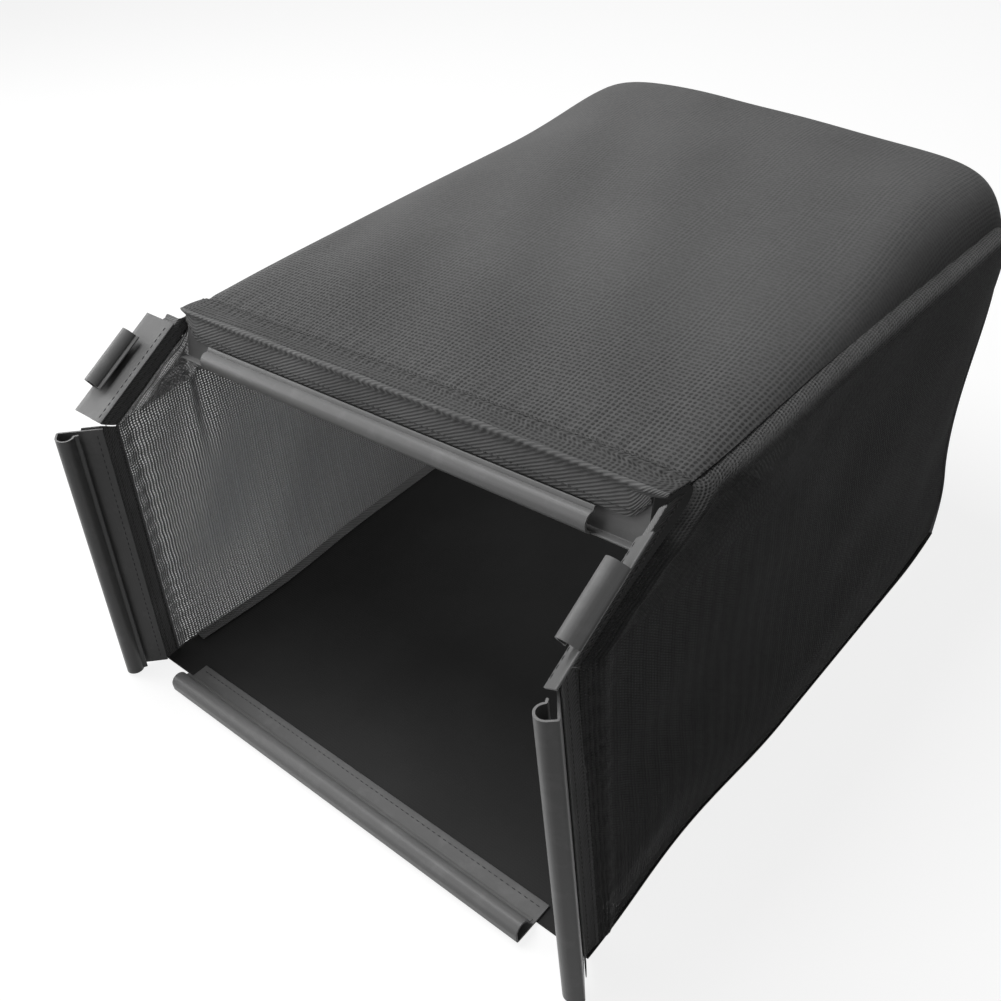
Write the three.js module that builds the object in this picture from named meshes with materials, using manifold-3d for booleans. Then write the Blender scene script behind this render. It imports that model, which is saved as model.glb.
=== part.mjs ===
// Grass collection bag of a walk-behind mower: a soft box of mesh cloth on a coated floor,
// open at the front, with six plastic clips sewn round its mouth.
// Units are millimetres, +Z is up and +Y runs from the mouth into the bag.
// The origin is the middle of the floor's flat underside.

import * as THREE from 'three';
import Module from 'manifold-3d';
import { mergeVertices } from 'three/addons/utils/BufferGeometryUtils.js';

const wasm = await Module();
wasm.setup();

// Sheet goods
const fabric = 1.2; // mesh cloth with its backing
const floorSheet = 1.2; // coated sheet of the floor
const hemThickness = 1.6; // the folded hem over the roof's front edge
const tapeThickness = 1.2; // binding tape
const gap = 0.3; // room left between two sewn pieces
const seamRoom = 1.5; // room inside the roof and the back for a side panel's edge

// The floor
const floorLength = 460;
const floorHalfWidth = 214;
const floorRise = 8; // how far its back end curls up
const floorRiseRun = 57; // length of the curled end

// The roof and the back
const roofHalfWidth = 207;
const roofFrontHeight = 275; // heights of the seam between the roof and the sides
const roofMiddleHeight = 274;
const roofBackHeight = 266;
const roofSetback = 100; // the roof's front edge stands this far behind the floor's
const backOverhang = 84; // the top of the back stands this far behind the floor's back end
const backCorner = 26; // rounding between the roof and the back
const waistHigh = 170; // heights between which the back swings forward
const waistLow = 150;
const bellyHeight = 63; // the lower back is upright down to this height
const bellyReach = 18; // and stands this far behind the floor's back end
const crown = 31; // at the back the roof's middle is this much higher than its sides
const crownRun = 420; // length over which the crown grows from the straight front edge
const leftCrownSharpness = 5; // higher keeps the roof flat for longer towards that side
const rightCrownSharpness = 14;
const backBow = 22; // the back's middle stands this far behind its sides
const bowSharpness = 12; // higher keeps the back flat for longer towards its sides
const floorDent = 5; // the floor's long edges are drawn in by this much near the mouth
const floorDentRun = 220; // over this length

// Lean of the soft bag, which stands a little crooked
const skew = 31; // the back's left side stands back and its right side forward by this much
const sway = 4; // the whole roof stands to the right by this much
const mouthTilt = 3.5; // the roof's right side is higher at the mouth
const backTilt = 5; // and lower at the back
const leftSag = 8; // the roof's left edge sags by this much
const leftSagPlace = 200; // most of all here
const leftSagReach = 110; // and over this length to both sides
const seamLap = 1.2; // roof and floor reach past the side panels by this much

// The side panels
const sideBulge = 8;
const mouthDraw = 6; // the clips draw the mouth in by this much at the top
const mouthDrawRun = 180;
const cheekHeight = 227; // the mouth's edge is upright to here and then slants back
const cheekSetback = 14; // the upright edge leans back by this much
const footSharpness = 8; // higher keeps the lower edge on the floor for longer towards the back

// The clips, seen in section: a flat flange, a front wall and a round hook
const flangeWidth = 30;
const clipWall = 1.4;
const wireDiameter = 9.5; // the wire frame that the hooks snap over
const wireClearance = 0.45;
const lipLength = 2.7;
const throat = 3.9; // opening between the lip and the flange
const bottomClipHalfLength = 176;
const bottomClipReach = 18; // the bottom clip stands this far in front of the floor
const topClipHalfLength = 198;
const topHookHalfLength = 167;
const topLedge = 7.5; // the front wall left beyond the ends of the top hook
const topClipLean = 18; // degrees from upright
const cornerClipLength = 86;
const cornerHookLength = 45;
const sideClipTrim = 3; // the side clip stops this short of the turn in the mouth's edge
const tapeTrim = 0.6; // and the tapes stop this short of it
const sideFlare = 40; // degrees that a flange turns out from its panel
const leftCorner = { flare: 88, start: 0.6 };
const rightCorner = { flare: 38, start: -12 }; // it has slid down past the turn

// Hems and tapes
const hemWidth = 20; // on the roof
const hemFold = 12; // down over the top clip's flange
const mouthTapeWidth = 10; // between flange and mesh
const mouthMargin = 14; // on the outer face of the flange
const topTapeTrim = 5; // the corner tape stops this short of the roof's front edge
const bindingWidth = 8; // along the seams inside the bag
const standingGap = 1.5 * gap; // between the floor and the cloth that stands on it

// Steps of the meshes
const roofRows = 10;
const cornerRows = 4;
const backRows = 8;
const footRows = 2;
const acrossSteps = 14;
const flatFloorSteps = 8;
const risingFloorSteps = 3;
const uprightRows = 9; // rows of a side panel along the upright part of the mouth

// Places worked out from the sizes
const frontY = -floorLength / 2;
const rearY = floorLength / 2;
const riseStartY = rearY - floorRiseRun;
const roofFrontY = frontY + roofSetback;
const backTopY = rearY + backOverhang;
const roofEndY = backTopY - backCorner;
const lastRow = roofRows + cornerRows + backRows + footRows;
const cornerRow = roofRows + cornerRows / 2;
const hookRadius = wireDiameter / 2 + wireClearance + clipWall / 2;
const lapOnFlange = fabric / 2 + gap + clipWall / 2;

const parts = new THREE.Group();

const finishes = {
  mesh: new THREE.MeshStandardMaterial({ color: 0x4a4a4a, roughness: 0.9, metalness: 0 }),
  coated: new THREE.MeshStandardMaterial({ color: 0x2d2d2d, roughness: 0.6, metalness: 0 }),
  clip: new THREE.MeshStandardMaterial({ color: 0x3c3d3e, roughness: 0.35, metalness: 0 }),
  tape: new THREE.MeshStandardMaterial({ color: 0x262626, roughness: 0.85, metalness: 0 }),
};

function addPart(name, geometry, finish) {
  const mesh = new THREE.Mesh(geometry, finish.clone());
  mesh.name = name;
  parts.add(mesh);
  return mesh;
}

function smooth(share) {
  return THREE.MathUtils.smoothstep(share, 0, 1);
}

function mix(a, b, share) {
  return a + (b - a) * share;
}

// A closed sheet of the given thickness round the middle surface that surface(u, v) gives
function sheet(columns, rows, thickness, surface) {
  const geometry = new THREE.BoxGeometry(1, 1, 1, columns, rows, 1);
  const spots = geometry.attributes.position;
  const step = 1e-4;
  for (let i = 0; i < spots.count; i += 1) {
    const u = spots.getX(i) + 0.5;
    const v = spots.getY(i) + 0.5;
    const along = surface(Math.min(u + step, 1), v).sub(surface(Math.max(u - step, 0), v));
    const up = surface(u, Math.min(v + step, 1)).sub(surface(u, Math.max(v - step, 0)));
    const normal = along.cross(up).normalize();
    const point = surface(u, v).addScaledVector(normal, spots.getZ(i) * thickness);
    spots.setXYZ(i, point.x, point.y, point.z);
  }
  geometry.computeVertexNormals();
  return geometry;
}

// Shape of the bag

// Half of the bag's width at a place on its side
function halfWidth(y, z) {
  const height = z / roofMiddleHeight;
  const drawn = mouthDraw * height * (1 - smooth((y - frontY) / mouthDrawRun));
  const dentShare = THREE.MathUtils.clamp((y - frontY) / floorDentRun, 0, 1);
  const dented = floorDent * Math.sin(Math.PI * dentShare) ** 2 * Math.max(0, 1 - height);
  return mix(floorHalfWidth, roofHalfWidth, height) - drawn - dented;
}

// Moves a point of the straight bag to its place on the bag that leans
function leaned(point) {
  const side = point.x / floorHalfWidth;
  const height = point.z / roofMiddleHeight;
  const depth = smooth((point.y - roofFrontY) / (rearY - roofFrontY));
  const tilt = mix(mouthTilt, -backTilt, smooth(point.y / backTopY));
  const sagShare = Math.exp(-(((point.y - leftSagPlace) / leftSagReach) ** 2));
  const sag = leftSag * sagShare * height * Math.max(0, -side);
  point.x += sway * height;
  point.y -= skew * side * height * depth;
  point.z += tilt * side * height - sag;
  return point;
}

// Side view of the roof and the back, as four curves from the mouth to the floor
const backFoot = new THREE.Vector2(rearY, floorRise + floorSheet + gap + fabric / 2);
const bellyPoint = new THREE.Vector2(rearY + bellyReach, bellyHeight);
const roofStart = new THREE.Vector2(roofFrontY, roofFrontHeight);
const roofEnd = new THREE.Vector2(roofEndY, roofBackHeight);
const roofPull = new THREE.Vector2(
  (roofFrontY + roofEndY) / 2,
  2 * roofMiddleHeight - (roofFrontHeight + roofBackHeight) / 2,
);
const roofSlope = (roofEnd.y - roofPull.y) / (roofEnd.x - roofPull.x);
const cornerPull = new THREE.Vector2(backTopY, roofBackHeight + roofSlope * backCorner);
const cornerEnd = new THREE.Vector2(backTopY, cornerPull.y - backCorner);
const roofCurve = new THREE.QuadraticBezierCurve(roofStart, roofPull, roofEnd);
const cornerCurve = new THREE.QuadraticBezierCurve(roofEnd, cornerPull, cornerEnd);
const backCurve = new THREE.CubicBezierCurve(
  cornerEnd,
  new THREE.Vector2(backTopY, waistHigh),
  new THREE.Vector2(bellyPoint.x, waistLow),
  bellyPoint,
);
const footCurve = new THREE.QuadraticBezierCurve(
  bellyPoint,
  new THREE.Vector2(bellyPoint.x, (bellyHeight + backFoot.y) / 2),
  backFoot,
);

// The first row ends at the back of the hem, so that the side panel can start there
function outlinePoint(row) {
  const hemShare = hemWidth / (roofEndY - roofFrontY);
  if (row < 1) {
    return roofCurve.getPoint(hemShare * row);
  }
  if (row < roofRows) {
    return roofCurve.getPoint(mix(hemShare, 1, (row - 1) / (roofRows - 1)));
  }
  if (row < roofRows + cornerRows) {
    return cornerCurve.getPoint((row - roofRows) / cornerRows);
  }
  if (row < lastRow - footRows) {
    return backCurve.getPoint((row - roofRows - cornerRows) / backRows);
  }
  return footCurve.getPoint((row - (lastRow - footRows)) / footRows);
}

// Roof and back before the lean, at a share of the half width from -1 to 1
function shellShape(across, row) {
  const outline = outlinePoint(row);
  const grown = smooth((outline.x - roofFrontY) / crownRun);
  const raised = smooth((outline.y - bellyHeight) / (roofFrontHeight - bellyHeight));
  const bowed = smooth((outline.x - riseStartY / 2) / (rearY - riseStartY / 2));
  const lifted = smooth((outline.y - backFoot.y) / (waistLow - backFoot.y));
  const crownSharpness = across < 0 ? leftCrownSharpness : rightCrownSharpness;
  return new THREE.Vector3(
    across * (halfWidth(outline.x, outline.y) + seamLap),
    outline.x + backBow * (1 - Math.abs(across) ** bowSharpness) * bowed * lifted,
    outline.y + crown * (1 - Math.abs(across) ** crownSharpness) * grown * raised,
  );
}

function shellPoint(across, row) {
  return leaned(shellShape(across, row));
}

// Share of the half width at a column of the roof's mesh; columns are closer near the sides
function columnShare(column) {
  return Math.sin(mix(-1, 1, column / acrossSteps) * Math.PI / 2);
}

// The same place on the flat faces between the columns
function shellFace(across, row) {
  const column = Math.floor((Math.asin(across) / Math.PI + 0.5) * acrossSteps);
  const inner = columnShare(column);
  const outer = columnShare(column + 1);
  const share = (across - inner) / (outer - inner);
  return shellShape(inner, row).lerp(shellShape(outer, row), share);
}

// Direction out of the bag at a row of the outline
function outlineNormal(row) {
  const step = 1e-3;
  const before = outlinePoint(Math.max(row - step, 0));
  const after = outlinePoint(Math.min(row + step, lastRow));
  const tangent = after.sub(before).normalize();
  return new THREE.Vector2(-tangent.y, tangent.x);
}

// Upper face of the floor
function floorTop(y) {
  const curled = Math.max(0, (y - riseStartY) / floorRiseRun);
  return floorSheet + floorRise * curled ** 2;
}

function floorStation(share) {
  const steps = flatFloorSteps + risingFloorSteps;
  const flatShare = flatFloorSteps / steps;
  if (share < flatShare) {
    return mix(frontY, riseStartY, share / flatShare);
  }
  return mix(riseStartY, rearY, (share - flatShare) / (1 - flatShare));
}

// Middle of a side panel's cloth; out is how far the bulge pushes it
function sidePoint(side, spot, out = 0) {
  const x = side * (halfWidth(spot.x, spot.y) - fabric / 2 + out);
  return leaned(new THREE.Vector3(x, spot.x, spot.y));
}

// Where a side panel meets the roof or the back, on their inner face
function sideBorder(row, side = 1) {
  const outline = outlinePoint(row);
  const width = halfWidth(outline.x, outline.y);
  const shell = shellFace(side * width / (width + seamLap), row);
  const inward = outlineNormal(row).multiplyScalar(-(fabric / 2 + seamRoom));
  return new THREE.Vector2(shell.y, shell.z).add(inward);
}

// The mouth's edge in side view: upright along the side clip, then slanting along the corner clip
const standingHeight = floorSheet + standingGap;
const edgeBottom = new THREE.Vector2(frontY, standingHeight);
const edgeCheek = new THREE.Vector2(frontY + cheekSetback, cheekHeight);
const edgeTop = sideBorder(0);
const uprightEdge = edgeCheek.clone().sub(edgeBottom).normalize();
const slantEdge = edgeTop.clone().sub(edgeCheek).normalize();

// Turns an edge direction into the direction back into the cloth
function intoCloth(edge) {
  return new THREE.Vector2(edge.y, -edge.x);
}

// Mouth edge moved back into the cloth: bottom, cheek and top
function mouthLine(inset) {
  const upright = edgeBottom.clone().addScaledVector(intoCloth(uprightEdge), inset);
  const bottom = new THREE.Vector2(upright.x, standingHeight);
  const slant = edgeCheek.clone().addScaledVector(intoCloth(slantEdge), inset);
  const turn = uprightEdge.cross(slantEdge);
  const reach = slant.clone().sub(bottom).cross(slantEdge) / turn;
  const cheek = bottom.clone().addScaledVector(uprightEdge, reach);
  const hemShare = inset / (mouthTapeWidth + 2 * gap);
  return { bottom, cheek, top: sideBorder(hemShare) };
}

// Panels

function roofAndBack(u, v) {
  return shellPoint(columnShare(acrossSteps * u), lastRow * (1 - v));
}

function floorSurface(u, v) {
  const y = floorStation(v);
  const across = mix(-1, 1, u);
  return new THREE.Vector3(across * (halfWidth(y, 0) + seamLap), y, floorTop(y) - floorSheet / 2);
}

// A side panel is stretched between four borders: the mouth, the roof, the back and the floor
function sideSurface(side, rows) {
  const front = mouthLine(mouthTapeWidth + 2 * gap);
  const bendShare = uprightRows / rows;
  const atFront = (v) => (v < bendShare
    ? front.bottom.clone().lerp(front.cheek, v / bendShare)
    : front.cheek.clone().lerp(front.top, (v - bendShare) / (1 - bendShare)));
  const atBack = (v) => sideBorder(mix(lastRow, cornerRow, v), side);
  const atTop = (u) => sideBorder(mix(1, cornerRow, u), side);
  const foot = atBack(0);
  const atBottom = (u) => {
    const y = mix(front.bottom.x, foot.x, (floorStation(u) - frontY) / floorLength);
    return new THREE.Vector2(y, mix(floorTop(y) + standingGap, foot.y, u ** footSharpness));
  };
  return (u, v) => {
    const spot = new THREE.Vector2()
      .addScaledVector(atBottom(u), 1 - v)
      .addScaledVector(atTop(u), v)
      .addScaledVector(atFront(v), 1 - u)
      .addScaledVector(atBack(v), u)
      .addScaledVector(atFront(0), -(1 - u) * (1 - v))
      .addScaledVector(atBack(0), -u * (1 - v))
      .addScaledVector(atTop(0), -(1 - u) * v)
      .addScaledVector(atTop(1), -u * v);
    const out = sideBulge * (1 - (2 * u - 1) ** 4) * (1 - (2 * v - 1) ** 4);
    return sidePoint(side, spot, out);
  };
}

function addPanels() {
  const roof = sheet(acrossSteps, lastRow, fabric, roofAndBack);
  addPart('roof_and_back_panel', roof, finishes.mesh);
  const floorSteps = flatFloorSteps + risingFloorSteps;
  const floor = sheet(acrossSteps / 2, floorSteps, floorSheet, floorSurface);
  addPart('floor_panel', floor, finishes.coated);
  const rows = lastRow - cornerRow;
  const columns = cornerRow - 1;
  addPart('left_side_panel', sheet(columns, rows, fabric, sideSurface(-1, rows)), finishes.mesh);
  addPart('right_side_panel', sheet(columns, rows, fabric, sideSurface(1, rows)), finishes.mesh);
}

// Clips

// Middle line of a clip's section, from the sewn edge round the hook to the lip
function clipLine() {
  const line = new THREE.Path();
  const bend = clipWall;
  const lipHeight = throat + clipWall;
  line.moveTo(flangeWidth, 0);
  line.lineTo(bend, 0);
  line.quadraticCurveTo(0, 0, 0, bend);
  line.lineTo(0, hookRadius);
  line.absarc(hookRadius, hookRadius, hookRadius, Math.PI, 0, true);
  line.lineTo(2 * hookRadius + lipLength, Math.min(lipHeight, hookRadius));
  return line.getPoints(10);
}

// Closed outline at half the wall on both sides of the middle line
function clipOutline() {
  const points = clipLine().filter((point, i, all) => i === 0 || !point.equals(all[i - 1]));
  const outer = [];
  const inner = [];
  points.forEach((point, i) => {
    const before = points[Math.max(i - 1, 0)];
    const after = points[Math.min(i + 1, points.length - 1)];
    const into = point.clone().sub(before).normalize();
    const out = after.clone().sub(point).normalize();
    const tangent = into.clone().add(out).normalize();
    const corner = Math.max(into.lengthSq() > 0 ? tangent.dot(into) : 1, 0.5);
    const aside = new THREE.Vector2(-tangent.y, tangent.x).multiplyScalar(clipWall / 2 / corner);
    outer.push(point.clone().add(aside));
    inner.push(point.clone().sub(aside));
  });
  return new THREE.Shape([...outer, ...inner.reverse()]);
}

function toSolid(geometry) {
  const bare = geometry.clone();
  bare.deleteAttribute('normal');
  bare.deleteAttribute('uv');
  const merged = mergeVertices(bare, 1e-4);
  return new wasm.Manifold(new wasm.Mesh({
    numProp: 3,
    vertProperties: new Float32Array(merged.attributes.position.array),
    triVerts: new Uint32Array(merged.index.array),
  }));
}

function toGeometry(solid) {
  const mesh = solid.getMesh();
  const geometry = new THREE.BufferGeometry();
  geometry.setAttribute('position', new THREE.BufferAttribute(mesh.vertProperties, 3));
  geometry.setIndex(new THREE.BufferAttribute(mesh.triVerts, 1));
  geometry.computeVertexNormals();
  return geometry;
}

// A straight clip along its own Z; beyond the hook's length the section is cut off above keep
function clipGeometry(length, hookLength = length, keep = clipWall) {
  const full = new THREE.ExtrudeGeometry(clipOutline(), {
    depth: length,
    bevelEnabled: false,
  }).translate(0, 0, -length / 2);
  const endLength = (length - hookLength) / 2;
  if (endLength <= 0) {
    return full;
  }
  const tall = 3 * hookRadius;
  const wide = 2 * (flangeWidth + tall);
  let solid = toSolid(full);
  for (const end of [-1, 1]) {
    const cut = new THREE.BoxGeometry(wide, tall, 2 * endLength);
    cut.translate(0, keep - clipWall / 2 + tall / 2, end * length / 2);
    solid = solid.subtract(toSolid(cut));
  }
  return toGeometry(solid);
}

// Places a clip by its sewn edge: back runs from the corner to that edge, up towards the hook
function placeClip(mesh, sewnMiddle, back, up) {
  const along = back.clone().cross(up);
  const turn = new THREE.Matrix4().makeBasis(back, up, along);
  mesh.setRotationFromMatrix(turn);
  mesh.position.copy(sewnMiddle).addScaledVector(back, -flangeWidth);
}

// Directions of a flared flange on one stretch of the mouth's edge
function flareFrame(side, from, to, edge, flare) {
  const start = sidePoint(side, from);
  const end = sidePoint(side, to);
  const along = end.clone().sub(start).normalize();
  const ahead = intoCloth(edge).negate();
  const forward = new THREE.Vector3(0, ahead.x, ahead.y);
  const outward = along.clone().cross(forward).multiplyScalar(-side).normalize();
  if (outward.x * side < 0) {
    outward.negate();
  }
  const straight = outward.clone().cross(along).normalize();
  if (straight.dot(forward) < 0) {
    straight.negate();
  }
  const angle = THREE.MathUtils.degToRad(flare);
  const flared = straight.clone().multiplyScalar(Math.cos(angle));
  flared.addScaledVector(outward, Math.sin(angle));
  const inward = straight.clone().multiplyScalar(Math.sin(angle));
  inward.addScaledVector(outward, -Math.cos(angle));
  return { start, end, along, flared, inward };
}

function addMouthClip(name, frame, fromStart, length, hookLength) {
  const clip = addPart(name, clipGeometry(length, hookLength), finishes.clip);
  const middle = frame.start.clone().addScaledVector(frame.along, fromStart + length / 2);
  middle.addScaledVector(frame.inward, lapOnFlange);
  placeClip(clip, middle, frame.flared.clone().negate(), frame.inward);
}

// Tape along a stretch of the mouth: on the flange's outer face, round the bend, to the mesh
function mouthTape(frame, innerStart, innerEnd, trim) {
  const length = frame.end.distanceTo(frame.start);
  const low = trim.low / length;
  const high = 1 - trim.high / length;
  return sheet(2, 4, tapeThickness, (u, v) => {
    const share = mix(low, high, u);
    const bend = frame.start.clone().lerp(frame.end, share);
    if (v < 0.5) {
      return bend.addScaledVector(frame.flared, mouthMargin * (1 - 2 * v));
    }
    return bend.lerp(innerStart.clone().lerp(innerEnd, share), 2 * v - 1);
  });
}

function addMouthSide(side, word, corner) {
  const inner = mouthLine(mouthTapeWidth);
  const innerCheek = sidePoint(side, inner.cheek);
  const upright = flareFrame(side, edgeBottom, edgeCheek, uprightEdge, sideFlare);
  const slant = flareFrame(side, edgeCheek, edgeTop, slantEdge, corner.flare);
  const sideLength = upright.end.distanceTo(upright.start) - sideClipTrim;
  addMouthClip(`${word}_side_clip`, upright, 0, sideLength, sideLength);
  const cornerSizes = [corner.start, cornerClipLength, cornerHookLength];
  addMouthClip(`${word}_corner_clip`, slant, ...cornerSizes);
  const sideTrim = { low: 0, high: tapeTrim };
  const sideTape = mouthTape(upright, sidePoint(side, inner.bottom), innerCheek, sideTrim);
  addPart(`${word}_side_tape`, sideTape, finishes.tape);
  const cornerTrim = { low: tapeTrim, high: topTapeTrim };
  const cornerTape = mouthTape(slant, innerCheek, sidePoint(side, inner.top), cornerTrim);
  addPart(`${word}_corner_tape`, cornerTape, finishes.tape);
}

// The top clip hangs from the roof's front edge with its hook on the front face
function topClipFrame() {
  const height = roofFrontHeight - fabric / 2 - gap - clipWall / 2;
  const start = leaned(new THREE.Vector3(-topClipHalfLength, roofFrontY, height));
  const end = leaned(new THREE.Vector3(topClipHalfLength, roofFrontY, height));
  const along = end.clone().sub(start).normalize();
  const lean = THREE.MathUtils.degToRad(topClipLean);
  const back = new THREE.Vector3(0, Math.sin(lean), Math.cos(lean));
  back.addScaledVector(along, -along.dot(back)).normalize();
  const up = along.clone().cross(back);
  return { sewn: start.lerp(end, 0.5), along, back, up };
}

const topFrame = topClipFrame();

function addTopClip() {
  const geometry = clipGeometry(2 * topClipHalfLength, 2 * topHookHalfLength, topLedge);
  const clip = addPart('top_clip', geometry, finishes.clip);
  placeClip(clip, topFrame.sewn, topFrame.back, topFrame.up);
}

function addBottomClip() {
  const geometry = clipGeometry(2 * bottomClipHalfLength);
  const height = floorSheet + gap + clipWall / 2;
  const sewn = new THREE.Vector3(0, frontY - bottomClipReach + flangeWidth, height);
  const back = new THREE.Vector3(0, 1, 0);
  const up = new THREE.Vector3(0, 0, 1);
  placeClip(addPart('bottom_clip', geometry, finishes.clip), sewn, back, up);
}

// Hem over the roof's front edge, folded down over the top clip's flange
function topHemSurface(u, v) {
  const across = columnShare(acrossSteps * u);
  const over = fabric / 2 + standingGap + hemThickness / 2;
  const onRoof = (row) => {
    const out = outlineNormal(row).multiplyScalar(over);
    return shellPoint(across, row).add(new THREE.Vector3(0, out.x, out.y));
  };
  const fold = topFrame.sewn.clone()
    .addScaledVector(topFrame.along, across * topClipHalfLength)
    .addScaledVector(topFrame.up, clipWall / 2 + gap + hemThickness / 2);
  const nose = onRoof(0).add(new THREE.Vector3(0, -over, -over / 3));
  const low = fold.clone().addScaledVector(topFrame.back, -hemFold);
  const stops = [onRoof(1), onRoof(0), nose, fold, low];
  const place = Math.min(v, 0.9999) * (stops.length - 1);
  const stop = Math.floor(place);
  return stops[stop].lerp(stops[stop + 1], place - stop);
}

// Bindings along the seams inside the bag

function roofBinding(side) {
  const depth = seamRoom + fabric / 2 + tapeThickness / 2 + 2 * gap;
  const columns = lastRow - 2;
  return sheet(columns, 1, tapeThickness, (u, v) => {
    const row = mix(1, lastRow - 1, u);
    const outline = outlinePoint(row);
    const width = halfWidth(outline.x, outline.y);
    const x = width - fabric - 2 * gap - bindingWidth * v;
    const shell = shellFace(side * x / (width + seamLap), row);
    const inward = outlineNormal(row).multiplyScalar(-depth);
    return leaned(shell.add(new THREE.Vector3(0, inward.x, inward.y)));
  });
}

function floorBindingHeight(y) {
  return floorTop(y) + 2 * gap + tapeThickness / 2;
}

function floorBinding(side) {
  const steps = flatFloorSteps + risingFloorSteps;
  const front = frontY + flangeWidth;
  const back = rearY - bindingWidth - 3 * fabric;
  return sheet(steps, 1, tapeThickness, (u, v) => {
    const y = mix(front, back, (floorStation(u) - frontY) / floorLength);
    const x = halfWidth(y, 0) - fabric - 3 * gap - bindingWidth * v;
    return new THREE.Vector3(side * x, y, floorBindingHeight(y));
  });
}

function backBinding() {
  const half = floorHalfWidth - 2 * fabric - bindingWidth;
  return sheet(1, 2, tapeThickness, (u, v) => {
    const y = rearY - 2 * fabric - bindingWidth * (1 - v);
    return new THREE.Vector3(mix(-half, half, u), y, floorBindingHeight(y));
  });
}

addPanels();
addBottomClip();
addTopClip();
addMouthSide(-1, 'left', leftCorner);
addMouthSide(1, 'right', rightCorner);
addPart('top_hem', sheet(acrossSteps, 8, hemThickness, topHemSurface), finishes.tape);
addPart('left_roof_binding', roofBinding(-1), finishes.tape);
addPart('right_roof_binding', roofBinding(1), finishes.tape);
addPart('left_floor_binding', floorBinding(-1), finishes.tape);
addPart('right_floor_binding', floorBinding(1), finishes.tape);
addPart('back_floor_binding', backBinding(), finishes.tape);

export default parts;
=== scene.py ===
"""Studio scene of the soft grass collection bag of a walk-behind mower.

The bag is a box of knitted mesh on a coated floor sheet, open at the front. Vinyl clips are sewn
round its mouth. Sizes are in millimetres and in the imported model's frame: +Z is up and +Y runs
from the mouth into the bag. Meshes are turned to metres where they are made.
"""
import logging
import math
from collections.abc import Callable, Sequence
from dataclasses import dataclass, field
from enum import Enum

import bpy
import numpy as np
from mathutils import Matrix, Quaternion, Vector


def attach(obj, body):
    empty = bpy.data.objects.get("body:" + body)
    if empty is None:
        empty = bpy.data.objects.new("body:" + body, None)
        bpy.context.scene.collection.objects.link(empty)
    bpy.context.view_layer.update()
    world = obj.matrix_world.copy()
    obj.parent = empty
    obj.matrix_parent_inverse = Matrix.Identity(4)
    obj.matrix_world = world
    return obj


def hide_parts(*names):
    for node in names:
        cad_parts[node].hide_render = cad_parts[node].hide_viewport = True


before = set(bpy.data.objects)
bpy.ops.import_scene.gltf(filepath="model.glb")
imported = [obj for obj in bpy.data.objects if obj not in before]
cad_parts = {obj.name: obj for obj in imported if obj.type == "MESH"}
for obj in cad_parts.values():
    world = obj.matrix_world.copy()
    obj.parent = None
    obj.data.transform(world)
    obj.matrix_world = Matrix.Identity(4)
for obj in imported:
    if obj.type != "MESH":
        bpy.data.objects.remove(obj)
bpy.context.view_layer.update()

log = logging.getLogger("bag")

METRES = 0.001  # metres in a millimetre
WAVE_SCALE = math.pi / 10  # a wave texture's scale that gives one band a metre
BODY = "root"  # the bag is one body
Points = np.ndarray


class Side(Enum):
    """The two sides of the bag, with the sign of their X."""

    LEFT = -1
    RIGHT = 1

    @property
    def word(self) -> str:
        """The side's name, as it stands in the names of its pieces."""
        return self.name.lower()


class Stretch(Enum):
    """The two straight stretches of a side of the mouth, numbered from the floor."""

    SIDE = 0
    CORNER = 1

    @property
    def word(self) -> str:
        """The stretch's name, as it stands in the names of its pieces."""
        return self.name.lower()


# Small helpers for numbers


def smooth(share: Points | float) -> Points:
    """Ease a share between 0 and 1."""
    held = np.clip(share, 0.0, 1.0)
    return held * held * (3.0 - 2.0 * held)


def mix(low: Points | float, high: Points | float, share: Points | float) -> Points:
    """Blend two values."""
    return low + (high - low) * share


def stack(*parts: Points | float) -> Points:
    """Put coordinates of any matching shapes together as points."""
    return np.stack(np.broadcast_arrays(*[np.asarray(part, float) for part in parts]), axis=-1)


def unit(vectors: Points) -> Points:
    """Scale vectors to length one."""
    length = np.linalg.norm(vectors, axis=-1, keepdims=True)
    return vectors / np.maximum(length, 1e-9)


def quadratic(a: Sequence[float], b: Sequence[float], c: Sequence[float], share: Points) -> Points:
    """Points on a quadratic curve."""
    t = np.asarray(share, float)[..., None]
    return (1 - t) ** 2 * np.array(a) + 2 * t * (1 - t) * np.array(b) + t**2 * np.array(c)


def cubic(ends: Sequence[Sequence[float]], share: Points) -> Points:
    """Points on a cubic curve.

    Args:
        ends: Its four control points.
        share: Shares of the way along it.

    Returns:
        The points.
    """
    t = np.asarray(share, float)[..., None]
    a, b, c, d = (np.array(end, float) for end in ends)
    return (1 - t) ** 3 * a + 3 * t * (1 - t) ** 2 * b + 3 * t**2 * (1 - t) * c + t**3 * d


def spline(stops: Points, count: int, axis: int = 0) -> Points:
    """Draw a smooth curve through evenly spaced stops.

    Args:
        stops: Points, or rows of points.
        count: Number of points on the curve.
        axis: The axis that runs along the curve.

    Returns:
        The stops' array with count places along that axis.
    """
    stops = np.moveaxis(stops, axis, 0)
    place = np.linspace(0, len(stops) - 1, count)
    index = np.minimum(place.astype(int), len(stops) - 2)
    t = (place - index).reshape(-1, *[1] * (stops.ndim - 1))
    before, after = 2 * stops[:1] - stops[1:2], 2 * stops[-1:] - stops[-2:-1]
    padded = np.concatenate([before, stops, after])
    a, b, c, d = (padded[index + k] for k in range(4))
    curve = b + (c - a) / 2 * t + (a - 2.5 * b + 2 * c - d / 2) * t**2
    curve = curve + (1.5 * (b - c) + (d - a) / 2) * t**3
    return np.moveaxis(curve, 0, axis)


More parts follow.
